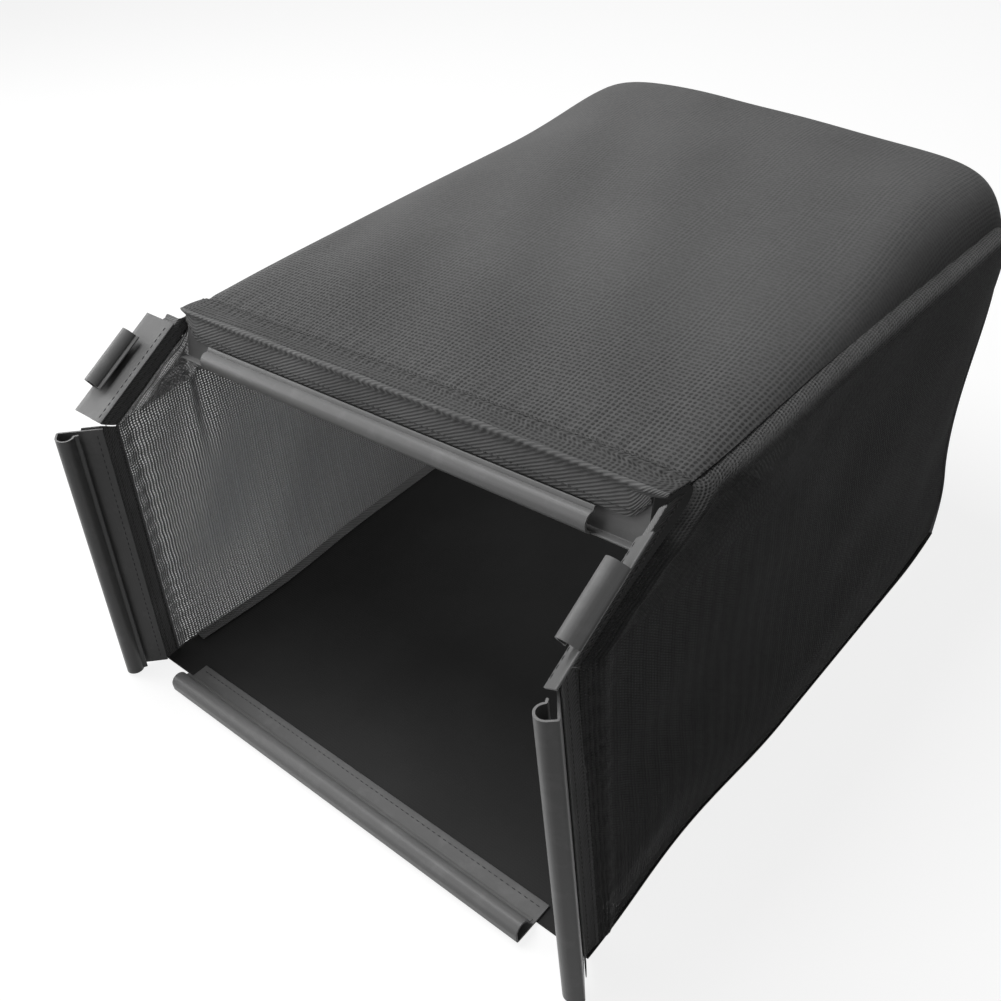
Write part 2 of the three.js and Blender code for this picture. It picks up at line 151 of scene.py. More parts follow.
@dataclass(frozen=True)
class Ripples:
    """Smooth, repeatable unevenness, as the sum of a few slanted waves."""

    seed: int
    shortest: float
    longest: float
    count: int = 9

    def at(self, across: Points, along: Points) -> Points:
        """Height of the unevenness, about -1 to 1.

        Args:
            across: One coordinate, in millimetres.
            along: The other coordinate, in millimetres.

        Returns:
            The heights.
        """
        rng = np.random.default_rng(self.seed)
        total = np.zeros(np.broadcast(across, along).shape)
        for _ in range(self.count):
            wave = 2 * math.pi / rng.uniform(self.shortest, self.longest)
            angle = rng.uniform(0, math.pi)
            phase = rng.uniform(0, 2 * math.pi)
            total += np.sin(wave * (across * math.cos(angle) + along * math.sin(angle)) + phase)
        return total / math.sqrt(self.count)


# Colours and materials


def linear(colour: str) -> tuple[float, float, float, float]:
    """Turn an sRGB hex colour into the linear colour that a shader takes.

    Args:
        colour: Six hex digits.

    Returns:
        Linear red, green, blue and an alpha of one.
    """
    parts = [int(colour[i : i + 2], 16) / 255 for i in (0, 2, 4)]
    flat = [p / 12.92 if p <= 0.04045 else ((p + 0.055) / 1.055) ** 2.4 for p in parts]
    return (flat[0], flat[1], flat[2], 1.0)


def node(tree: bpy.types.NodeTree, kind: str, inputs: dict | None = None,
         **settings: object) -> bpy.types.Node:
    """Add one node with its settings, values and links.

    Args:
        tree: The node tree.
        kind: Blender's name for the node.
        inputs: Socket name or number, with a value or the socket that feeds it.
        **settings: The node's own properties.

    Returns:
        The new node.
    """
    made = tree.nodes.new(kind)
    for key, value in settings.items():
        setattr(made, key, value)
    for key, value in (inputs or {}).items():
        if isinstance(value, bpy.types.NodeSocket):
            tree.links.new(value, made.inputs[key])
        else:
            made.inputs[key].default_value = value
    return made


def blank(name: str) -> tuple[bpy.types.Material, bpy.types.NodeTree]:
    """Make an empty material.

    Args:
        name: The material's name.

    Returns:
        The material and its node tree.
    """
    material = bpy.data.materials.new(name)
    material.use_nodes = True
    material.node_tree.nodes.clear()
    return material, material.node_tree


@dataclass(frozen=True)
class KnittedMesh:
    """Warp-knitted polyester mesh, knitted from dull yarn with a hole between the loops.

    It is matte, with a faint sheen at grazing angles, and light comes through its holes. Where a hole
    is not open, it is painted dark towards the shade colour: painted shade for the dark inside seen
    through it, at full strength near the front edge when a front zone is set. The real holes are under
    1 mm apart. They are drawn 2 to 3 mm apart, as coarse as they need to show.
    Pitches, zones and sizes are in millimetres.
    """

    name: str
    yarn: str
    shade: str
    hole_pitch: float = 3.3
    row_pitch: float = 3.2
    openness: float = 0.4
    hole_contrast: float = 0.5
    front_zone: float = 0.0
    doubled_edge: float = 0.0
    far_share: float = 1.0
    far_run: float = 260.0
    rib_pitch: float = 3.0
    rib_contrast: float = 0.25
    cloud_size: float = 143.0
    cloudiness: float = 0.4
    fleck_size: float = 3.85
    fleck_contrast: float = 0.3

    def build(self) -> bpy.types.Material:
        """Make the material.

        Returns:
            The material.
        """
        material, tree = blank(self.name)
        place = node(tree, "ShaderNodeTexCoord")
        cells = node(tree, "ShaderNodeVectorMath", {
            0: place.outputs["UV"],
            1: (1 / (self.hole_pitch * METRES), 1 / (self.row_pitch * METRES), 1.0),
        }, operation="MULTIPLY")
        holes = node(tree, "ShaderNodeTexVoronoi", {
            "Vector": cells.outputs[0],
            "Scale": 1.0,
            "Randomness": 0.16,
        }, voronoi_dimensions="2D", feature="F1")
        hole = node(tree, "ShaderNodeMapRange", {
            "Value": holes.outputs["Distance"],
            "From Min": 0.18,
            "From Max": 0.5,
            "To Min": 1.0,
            "To Max": 0.0,
        }, interpolation_type="SMOOTHSTEP")
        split = node(tree, "ShaderNodeSeparateXYZ", {0: place.outputs["UV"]})
        zone = node(tree, "ShaderNodeMapRange", {
            "Value": split.outputs["Y"],
            "From Min": 0.25 * self.front_zone * METRES,
            "From Max": max(self.front_zone, 1.0) * METRES,
            "To Min": 1.0,
            "To Max": 0.3 if self.front_zone else 1.0,
        }, interpolation_type="SMOOTHSTEP")
        shown = node(tree, "ShaderNodeMath", {
            0: hole.outputs[0],
            1: zone.outputs[0],
        }, operation="MULTIPLY")
        ribs = node(tree, "ShaderNodeTexWave", {
            "Vector": place.outputs["UV"],
            "Scale": WAVE_SCALE / (self.rib_pitch * METRES),
            "Distortion": 1.2,
            "Detail": 1.0,
            "Detail Scale": 0.6,
        }, wave_type="BANDS", bands_direction="X", wave_profile="SIN")
        broad = node(tree, "ShaderNodeTexNoise", {
            "Vector": place.outputs["Object"],
            "Scale": 1 / (self.cloud_size * METRES),
            "Detail": 3.0,
            "Roughness": 0.55,
        })
        fine = node(tree, "ShaderNodeTexNoise", {
            "Vector": place.outputs["Object"],
            "Scale": 1 / (self.fleck_size * METRES),
            "Detail": 2.0,
        })
        # Holes that are not open are painted towards the shade colour: painted shade for the dark inside
        # seen through them.
        painted_hole_shade = node(tree, "ShaderNodeMath", {
            0: shown.outputs[0],
            1: self.hole_contrast,
        }, operation="MULTIPLY")
        ribbed = node(tree, "ShaderNodeMath", {
            0: ribs.outputs["Fac"],
            1: self.rib_contrast,
            2: painted_hole_shade.outputs[0],
        }, operation="MULTIPLY_ADD")
        cloudy = node(tree, "ShaderNodeMath", {
            0: broad.outputs["Fac"],
            1: self.cloudiness,
            2: ribbed.outputs[0],
        }, operation="MULTIPLY_ADD")
        speckled = node(tree, "ShaderNodeMath", {
            0: fine.outputs["Fac"],
            1: self.fleck_contrast,
            2: cloudy.outputs[0],
        }, operation="MULTIPLY_ADD", use_clamp=True)
        colour = node(tree, "ShaderNodeMix", {
            0: speckled.outputs[0],
            6: linear(self.yarn),
            7: linear(self.shade),
        }, data_type="RGBA")
        relief = node(tree, "ShaderNodeBump", {
            "Height": speckled.outputs[0],
            "Strength": 0.4,
            "Distance": 0.0006,
        }, invert=True)
        single = node(tree, "ShaderNodeMapRange", {
            "Value": split.outputs["X"],
            "From Min": 0.7 * self.doubled_edge * METRES,
            "From Max": (1.3 * self.doubled_edge + 0.01) * METRES,
            "To Min": 0.0,
            "To Max": self.openness,
        })
        far = node(tree, "ShaderNodeMapRange", {
            "Value": split.outputs["X"],
            "From Min": 0.2 * self.far_run * METRES,
            "From Max": self.far_run * METRES,
            "To Min": 1.0,
            "To Max": self.far_share,
        })
        open_near = node(tree, "ShaderNodeMath", {
            0: shown.outputs[0],
            1: single.outputs[0],
        }, operation="MULTIPLY")
        open_share = node(tree, "ShaderNodeMath", {
            0: open_near.outputs[0],
            1: far.outputs[0],
        }, operation="MULTIPLY")
        alpha = node(tree, "ShaderNodeMath", {
            0: 1.0,
            1: open_share.outputs[0],
        }, operation="SUBTRACT")
        shader = node(tree, "ShaderNodeBsdfPrincipled", {
            "Base Color": colour.outputs[2],
            "Roughness": 0.92,
            "Specular IOR Level": 0.12,
            "Sheen Weight": 0.12,
            "Sheen Roughness": 0.5,
            "Alpha": alpha.outputs[0],
            "Normal": relief.outputs[0],
        })
        node(tree, "ShaderNodeOutputMaterial", {"Surface": shader.outputs[0]})
        return material


@dataclass(frozen=True)
class CoatedSheet:
    """Polyester cloth coated with vinyl, rolled smooth.

    It is even and dark, with a low satin gloss and the cloth's weave just printing through. The
    real threads are about 0.5 mm apart, and they are drawn 2 mm apart so that they show.
    """

    name: str = "vinyl_coated_polyester_rolled"
    colour: str = "363636"
    weave_pitch: float = 2.0
    cloud_size: float = 111.0

    def build(self) -> bpy.types.Material:
        """Make the material.

        Returns:
            The material.
        """
        material, tree = blank(self.name)
        place = node(tree, "ShaderNodeTexCoord")
        scale = WAVE_SCALE / (self.weave_pitch * METRES)
        warp = node(tree, "ShaderNodeTexWave", {
            "Vector": place.outputs["UV"], "Scale": scale, "Distortion": 0.3,
        }, bands_direction="X")
        weft = node(tree, "ShaderNodeTexWave", {
            "Vector": place.outputs["UV"], "Scale": scale, "Distortion": 0.3,
        }, bands_direction="Y")
        weave = node(tree, "ShaderNodeMath", {
            0: warp.outputs["Fac"], 1: weft.outputs["Fac"],
        }, operation="MULTIPLY")
        cloud = node(tree, "ShaderNodeTexNoise", {
            "Vector": place.outputs["Object"],
            "Scale": 1 / (self.cloud_size * METRES),
            "Detail": 4.0,
        })
        tone = node(tree, "ShaderNodeMapRange", {
            "Value": cloud.outputs["Fac"],
            "From Min": 0.3,
            "From Max": 0.7,
            "To Min": 0.85,
            "To Max": 1.12,
        })
        colour = node(tree, "ShaderNodeMix", {
            0: 1.0, 6: linear(self.colour), 7: tone.outputs[0],
        }, data_type="RGBA", blend_type="MULTIPLY")
        gloss = node(tree, "ShaderNodeMapRange", {
            "Value": cloud.outputs["Fac"], "To Min": 0.5, "To Max": 0.68,
        })
        relief = node(tree, "ShaderNodeBump", {
            "Height": weave.outputs[0], "Strength": 0.25, "Distance": 0.0003,
        })
        shader = node(tree, "ShaderNodeBsdfPrincipled", {
            "Base Color": colour.outputs[2],
            "Roughness": gloss.outputs[0],
            "Specular IOR Level": 0.1,
            "Normal": relief.outputs[0],
        })
        node(tree, "ShaderNodeOutputMaterial", {"Surface": shader.outputs[0]})
        return material


@dataclass(frozen=True)
class WovenTape:
    """Narrow polyester tape or a hem, woven as a twill.

    Its slanted ribs are painted lighter where they stand high, in broad patches: a painted highlight
    for the light that they catch. It is matte and a little fuzzy. Real ribs are about 1 mm apart, and
    they are drawn 2 mm apart so that they show.
    """

    name: str
    colour: str
    rib: str
    rib_pitch: float = 2.2
    slant: float = 0.9
    fuzz_size: float = 2.63
    wear_size: float = 35.7

    def build(self) -> bpy.types.Material:
        """Make the material.

        Returns:
            The material.
        """
        material, tree = blank(self.name)
        place = node(tree, "ShaderNodeTexCoord")
        turned = node(tree, "ShaderNodeVectorRotate", {
            "Vector": place.outputs["UV"], "Angle": self.slant,
        }, rotation_type="Z_AXIS")
        twill = node(tree, "ShaderNodeTexWave", {
            "Vector": turned.outputs[0],
            "Scale": WAVE_SCALE / (self.rib_pitch * METRES),
            "Distortion": 0.8,
            "Detail": 1.5,
        }, bands_direction="X")
        fuzz = node(tree, "ShaderNodeTexNoise", {
            "Vector": place.outputs["Object"],
            "Scale": 1 / (self.fuzz_size * METRES),
            "Detail": 3.0,
        })
        highlight_patches = node(tree, "ShaderNodeTexNoise", {
            "Vector": place.outputs["Object"],
            "Scale": 1 / (self.wear_size * METRES),
            "Detail": 3.0,
        })
        # Where the twill and the fuzz stand high, the colour is painted towards the lighter rib colour in
        # broad patches: a painted highlight.
        height = node(tree, "ShaderNodeMath", {
            0: fuzz.outputs["Fac"], 1: 0.5, 2: twill.outputs["Fac"],
        }, operation="MULTIPLY_ADD")
        share = node(tree, "ShaderNodeMath", {
            0: height.outputs[0], 1: highlight_patches.outputs["Fac"],
        }, operation="MULTIPLY", use_clamp=True)
        colour = node(tree, "ShaderNodeMix", {
            0: share.outputs[0], 6: linear(self.colour), 7: linear(self.rib),
        }, data_type="RGBA")
        relief = node(tree, "ShaderNodeBump", {
            "Height": height.outputs[0], "Strength": 0.6, "Distance": 0.0005,
        })
        shader = node(tree, "ShaderNodeBsdfPrincipled", {
            "Base Color": colour.outputs[2],
            "Roughness": 0.88,
            "Specular IOR Level": 0.15,
            "Sheen Weight": 0.1,
            "Normal": relief.outputs[0],
        })
        node(tree, "ShaderNodeOutputMaterial", {"Surface": shader.outputs[0]})
        return material


@dataclass(frozen=True)
class ExtrudedVinyl:
    """Vinyl drawn through a die.

    It is satin, with die lines along its length and a little dust. Real die lines are 0.2 mm apart
    or less, and they are drawn about 1 mm apart so that they show.
    """

    name: str = "vinyl_extruded_satin"
    colour: str = "767676"
    dust: str = "929292"
    line_pitch: float = 1.1
    line_length: float = 167.0
    dust_size: float = 18.2

    def build(self) -> bpy.types.Material:
        """Make the material.

        Returns:
            The material.
        """
        material, tree = blank(self.name)
        place = node(tree, "ShaderNodeTexCoord")
        drawn = node(tree, "ShaderNodeVectorMath", {
            0: place.outputs["UV"],
            1: (1 / (self.line_pitch * METRES), 1 / (self.line_length * METRES), 1.0),
        }, operation="MULTIPLY")
        lines = node(tree, "ShaderNodeTexNoise", {
            "Vector": drawn.outputs[0], "Scale": 1.0, "Detail": 2.0,
        }, noise_dimensions="2D")
        marks = node(tree, "ShaderNodeTexNoise", {
            "Vector": place.outputs["Object"],
            "Scale": 1 / (self.dust_size * METRES),
            "Detail": 5.0,
            "Roughness": 0.65,
        })
        dusty = node(tree, "ShaderNodeMapRange", {
            "Value": marks.outputs["Fac"],
            "From Min": 0.52,
            "From Max": 0.8,
            "To Min": 0.0,
            "To Max": 0.5,
        })
        colour = node(tree, "ShaderNodeMix", {
            0: dusty.outputs[0], 6: linear(self.colour), 7: linear(self.dust),
        }, data_type="RGBA")
        gloss = node(tree, "ShaderNodeMapRange", {
            "Value": lines.outputs["Fac"], "To Min": 0.28, "To Max": 0.46,
        })
        relief = node(tree, "ShaderNodeBump", {
            "Height": lines.outputs["Fac"], "Strength": 0.25, "Distance": 0.0002,
        })
        shader = node(tree, "ShaderNodeBsdfPrincipled", {
            "Base Color": colour.outputs[2],
            "Roughness": gloss.outputs[0],
            "Specular IOR Level": 0.22,
            "Normal": relief.outputs[0],
        })
        node(tree, "ShaderNodeOutputMaterial", {"Surface": shader.outputs[0]})
        return material


@dataclass(frozen=True)
class SawnVinyl:
    """The cut ends of the vinyl clips: sawn, paler than the drawn skin and finely scored."""

    name: str = "vinyl_sawn_end"
    colour: str = "8c8c8c"
    score_size: float = 1.11

    def build(self) -> bpy.types.Material:
        """Make the material.

        Returns:
            The material.
        """
        material, tree = blank(self.name)
        place = node(tree, "ShaderNodeTexCoord")
        scores = node(tree, "ShaderNodeTexNoise", {
            "Vector": place.outputs["Object"],
            "Scale": 1 / (self.score_size * METRES),
            "Detail": 2.0,
        })
        tone = node(tree, "ShaderNodeMapRange", {
            "Value": scores.outputs["Fac"], "To Min": 0.75, "To Max": 1.2,
        })
        colour = node(tree, "ShaderNodeMix", {
            0: 1.0, 6: linear(self.colour), 7: tone.outputs[0],
        }, data_type="RGBA", blend_type="MULTIPLY")
        relief = node(tree, "ShaderNodeBump", {
            "Height": scores.outputs["Fac"], "Strength": 0.4, "Distance": 0.0002,
        })
        shader = node(tree, "ShaderNodeBsdfPrincipled", {
            "Base Color": colour.outputs[2],
            "Roughness": 0.6,
            "Specular IOR Level": 0.3,
            "Normal": relief.outputs[0],
        })
        node(tree, "ShaderNodeOutputMaterial", {"Surface": shader.outputs[0]})
        return material


@dataclass(frozen=True)
class SewingThread:
    """Twisted polyester sewing thread, slightly shinier than the cloth round it, with a painted highlight
    along the ridges of its twist.
    """

    name: str = "polyester_thread_twisted"
    colour: str = "2c2c2c"
    light: str = "585858"
    twist_pitch: float = 0.75

    def build(self) -> bpy.types.Material:
        """Make the material.

        Returns:
            The material.
        """
        material, tree = blank(self.name)
        place = node(tree, "ShaderNodeTexCoord")
        twist = node(tree, "ShaderNodeTexWave", {
            "Vector": place.outputs["Object"],
            "Scale": WAVE_SCALE / (self.twist_pitch * METRES),
            "Distortion": 1.0,
        }, bands_direction="DIAGONAL")
        # The twist's bands are painted towards the light colour: a painted highlight on the ridges of the
        # twist.
        colour = node(tree, "ShaderNodeMix", {
            0: twist.outputs["Fac"], 6: linear(self.colour), 7: linear(self.light),
        }, data_type="RGBA")
        relief = node(tree, "ShaderNodeBump", {
            "Height": twist.outputs["Fac"], "Strength": 0.5, "Distance": 0.0002,
        })
        shader = node(tree, "ShaderNodeBsdfPrincipled", {
            "Base Color": colour.outputs[2],
            "Roughness": 0.6,
            "Specular IOR Level": 0.3,
            "Normal": relief.outputs[0],
        })
        node(tree, "ShaderNodeOutputMaterial", {"Surface": shader.outputs[0]})
        return material


@dataclass
class Finishes:
    """All the materials of the bag, made once and shared by its pieces."""

    roof: bpy.types.Material = field(default_factory=lambda: KnittedMesh(
        "polyester_mesh_knitted_coarse", yarn="787878", shade="3c3c3c", hole_contrast=0.42,
        openness=0.32, front_zone=190.0, rib_contrast=0.12).build())
    doubled: bpy.types.Material = field(default_factory=lambda: KnittedMesh(
        "polyester_mesh_knitted_doubled", yarn="707070", shade="303030", hole_contrast=0.5,
        openness=0.0, rib_contrast=0.12).build())
    wall: bpy.types.Material = field(default_factory=lambda: KnittedMesh(
        "polyester_mesh_knitted_fine", yarn="848484", shade="363636", hole_pitch=2.4,
        row_pitch=2.0, hole_contrast=0.35, openness=0.7, doubled_edge=2.0, far_share=0.4,
        cloudiness=0.6).build())
    # The inner face of the mesh sheets: the same mesh with its yarn painted much lighter, as painted light
    # for the light that the real mesh lets through from outside.
    lining: bpy.types.Material = field(default_factory=lambda: KnittedMesh(
        "polyester_mesh_knitted_inner_face", yarn="b8b8b8", shade="606060", hole_pitch=2.4,
        row_pitch=2.0, hole_contrast=0.3, openness=0.7, rib_contrast=0.3, doubled_edge=2.0,
        far_share=0.6).build())
    floor: bpy.types.Material = field(default_factory=lambda: CoatedSheet().build())
    tape: bpy.types.Material = field(default_factory=lambda: WovenTape(
        "polyester_tape_woven", colour="646464", rib="929292", rib_pitch=2.0).build())
    hem: bpy.types.Material = field(default_factory=lambda: WovenTape(
        "polyester_hem_folded", colour="5a5a5a", rib="828282", rib_pitch=2.3, slant=1.1).build())
    clip: bpy.types.Material = field(default_factory=lambda: ExtrudedVinyl().build())
    sawn: bpy.types.Material = field(default_factory=lambda: SawnVinyl().build())
    thread: bpy.types.Material = field(default_factory=lambda: SewingThread().build())


# Making meshes


def add_piece(name: str, mesh: bpy.types.Mesh, materials: Sequence[bpy.types.Material]) -> bpy.types.Object:
    """Put a mesh into the scene as a piece of the bag.

    Args:
        name: The piece's name.
        mesh: Its mesh, in metres.
        materials: Its materials, in the order of its slots.

    Returns:
        The piece.
    """
    for material in materials:
        mesh.materials.append(material)
    piece = bpy.data.objects.new(name, mesh)
    bpy.context.scene.collection.objects.link(piece)
    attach(piece, BODY)
    log.info("%s: %d faces", name, len(mesh.polygons))
    return piece


def mesh_of(name: str, points: Points, faces: Sequence[Sequence[int]], uv: Points,
            slots: Sequence[int], sharp: float = 50.0) -> bpy.types.Mesh:
    """Make a smooth-shaded mesh.

    Args:
        name: The mesh's name.
        points: Its points in millimetres.
        faces: Its faces.
        uv: A place on the cloth for every point, in metres.
        slots: The material slot of each face.
        sharp: Edges that turn by more than this many degrees stay sharp.

    Returns:
        The mesh, in metres.
    """
    mesh = bpy.data.meshes.new(name)
    mesh.from_pydata((points * METRES).tolist(), [], [list(face) for face in faces])
    layer = mesh.uv_layers.new(name="cloth")
    corners = np.zeros(len(mesh.loops), dtype=np.int32)
    mesh.loops.foreach_get("vertex_index", corners)
    layer.data.foreach_set("uv", uv[corners].astype(np.float32).ravel())
    mesh.polygons.foreach_set("material_index", np.array(slots, dtype=np.int32))
    mesh.polygons.foreach_set("use_smooth", np.ones(len(mesh.polygons), dtype=bool))
    mesh.set_sharp_from_angle(angle=math.radians(sharp))
    mesh.update()
    return mesh


def run_lengths(grid: Points, axis: int) -> Points:
    """Distance walked along one axis of a grid of points.

    Args:
        grid: Points, as rows of columns.
        axis: The axis that is walked along: 0 down the rows and 1 along each row.

    Returns:
        The distance of each point from the first row or column.
    """
    steps = np.linalg.norm(np.diff(grid, axis=axis), axis=-1)
    start = np.zeros_like(np.take(steps, [0], axis=axis))
    return np.concatenate([start, np.cumsum(steps, axis=axis)], axis=axis)


def sheet_normals(grid: Points) -> Points:
    """Directions out of a grid of points."""
    return unit(np.cross(np.gradient(grid, axis=1), np.gradient(grid, axis=0)))


def sheet_mesh(name: str, grid: Points, thickness: Points | float,
               flip: bool = False) -> bpy.types.Mesh:
    """Make a closed sheet round a grid of middle points.

    Args:
        name: The mesh's name.
        grid: Middle points in millimetres, as rows of columns.
        thickness: The sheet's thickness in millimetres, everywhere or at each point.
        flip: Whether the outer face is on the other side of the grid.

    Returns:
        The mesh. Its outer face and edges have slot 0 and its inner face has slot 1.
    """
    rows, columns = grid.shape[:2]
    thick = np.broadcast_to(np.asarray(thickness, float), (rows, columns))[..., None]
    out = sheet_normals(grid) * (-0.5 if flip else 0.5) * thick
    points = np.concatenate([(grid + out).reshape(-1, 3), (grid - out).reshape(-1, 3)])
    flat = np.stack([run_lengths(grid, 1), run_lengths(grid, 0)], axis=-1).reshape(-1, 2) * METRES
    count = rows * columns
    index = np.arange(count).reshape(rows, columns)
    a, b = index[:-1, :-1].ravel(), index[:-1, 1:].ravel()
    c, d = index[1:, 1:].ravel(), index[1:, :-1].ravel()
    outer = np.stack([a, b, c, d], axis=1)
    inner = np.stack([d, c, b, a], axis=1) + count
    border = np.concatenate([index[0, :-1], index[:-1, -1], index[-1, :0:-1], index[:0:-1, 0]])
    ahead = np.roll(border, -1)
    rim = np.stack([border + count, ahead + count, ahead, border], axis=1)
    faces = np.concatenate([outer, inner, rim])
    if flip:
        faces = faces[:, ::-1]
    slots = [0] * len(outer) + [1] * len(inner) + [0] * len(rim)
    return mesh_of(name, points, faces.tolist(), np.concatenate([flat, flat]), slots)


def seam_line(grid: Points, place: float, lift: float, axis: int) -> tuple[Points, Points]:
    """Draw a line for stitches across a sheet.

    Args:
        grid: The sheet's middle points.
        place: Share of the way along the axis.
        lift: Height of the line over the middle of the sheet, on the outer side.
        axis: The axis that the line crosses: 0 for a row and 1 for a column.

    Returns:
        The line's points and the directions out of the cloth there.
    """
    index = round(place * (grid.shape[axis] - 1))
    out = np.take(sheet_normals(grid), index, axis=axis) * math.copysign(1.0, lift)
    return np.take(grid, index, axis=axis) + abs(lift) * out, out


def declare_sheet(piece: bpy.types.Object, grid: Points,
                  with_pieces: Sequence[bpy.types.Object]) -> None:
    """Log the size that a sheet of cloth was cut to, measured along the cloth itself.

    Args:
        piece: The sheet.
        grid: Its middle points in millimetres.
        with_pieces: The hems, tapes and stitches on it; not used.
    """
    width = float(run_lengths(grid, 1)[:, -1].max()) * METRES
    length = float(run_lengths(grid, 0)[-1].max()) * METRES
    first, second = grid[1:, 1:] - grid[:-1, :-1], grid[1:, :-1] - grid[:-1, 1:]
    area = float(np.linalg.norm(np.cross(first, second), axis=-1).sum()) / 2 * METRES**2
    list(with_pieces)
    log.info("%s: cut %.3f by %.3f m, %.4f square metres", piece.name, width, length, area)


def soft_edges(count: int, thickness: float, edge_share: float = 0.45) -> Points:
    """Thickness across a narrow band, full in the middle and thin along both edges."""
    place = np.linspace(-1, 1, count)
    return thickness * (edge_share + (1 - edge_share) * np.sqrt(1 - place**4))


def stitch_mesh(name: str, runs: Sequence[tuple[Points, Points]], pitch: float, length: float,
                width: float) -> bpy.types.Mesh:
    """Make rows of stitches.

    Args:
        name: The mesh's name.
        runs: For each row, the line that it follows and the directions out of the cloth.
        pitch: Distance from one stitch to the next.
        length: Length of a stitch.
        width: Thickness of the thread.

    Returns:
        The mesh.
    """
    rings = np.linspace(-1, 1, 5)
    sides = 6
    turns = np.linspace(0, 2 * math.pi, sides, endpoint=False)
    fat = np.sqrt(np.maximum(1 - rings**4, 0.05))
    rise = 0.35 * width * (1 - rings**2)
    shape = stack(
        np.repeat(rings * length / 2, sides),
        (fat[:, None] * np.cos(turns) * width / 2).ravel(),
        (fat[:, None] * np.sin(turns) * width / 2 + rise[:, None]).ravel(),
    )
    count = len(shape)
    quads = [(i + j, i + (j + 1) % sides, i + sides + (j + 1) % sides, i + sides + j)
             for i in range(0, count - sides, sides) for j in range(sides)]
    ends = [tuple(range(sides - 1, -1, -1)), tuple(range(count - sides, count))]
    points: list[Points] = []
    faces: list[tuple[int, ...]] = []
    for line, outs in runs:
        walked = run_lengths(line[None], 1)[0]
        stops = np.arange(pitch / 2, walked[-1], pitch)
        centre = stack(*[np.interp(stops, walked, line[:, k]) for k in range(3)])
        ahead = stack(*[np.interp(stops + 0.5, walked, line[:, k]) for k in range(3)])
        behind = stack(*[np.interp(stops - 0.5, walked, line[:, k]) for k in range(3)])
        out = unit(stack(*[np.interp(stops, walked, outs[:, k]) for k in range(3)]))
        along = unit(ahead - behind)
        aside = unit(np.cross(out, along))
        for k in range(len(stops)):
            turned = shape @ np.stack([along[k], aside[k], out[k]])
            base = count * len(points)
            points.append(centre[k] + turned)
            faces += [tuple(base + i for i in face) for face in quads + ends]
    everything = np.concatenate(points)
    uv = everything[:, :2] * METRES
    return mesh_of(name, everything, faces, uv, [0] * len(faces), sharp=80)


# The bag's shape


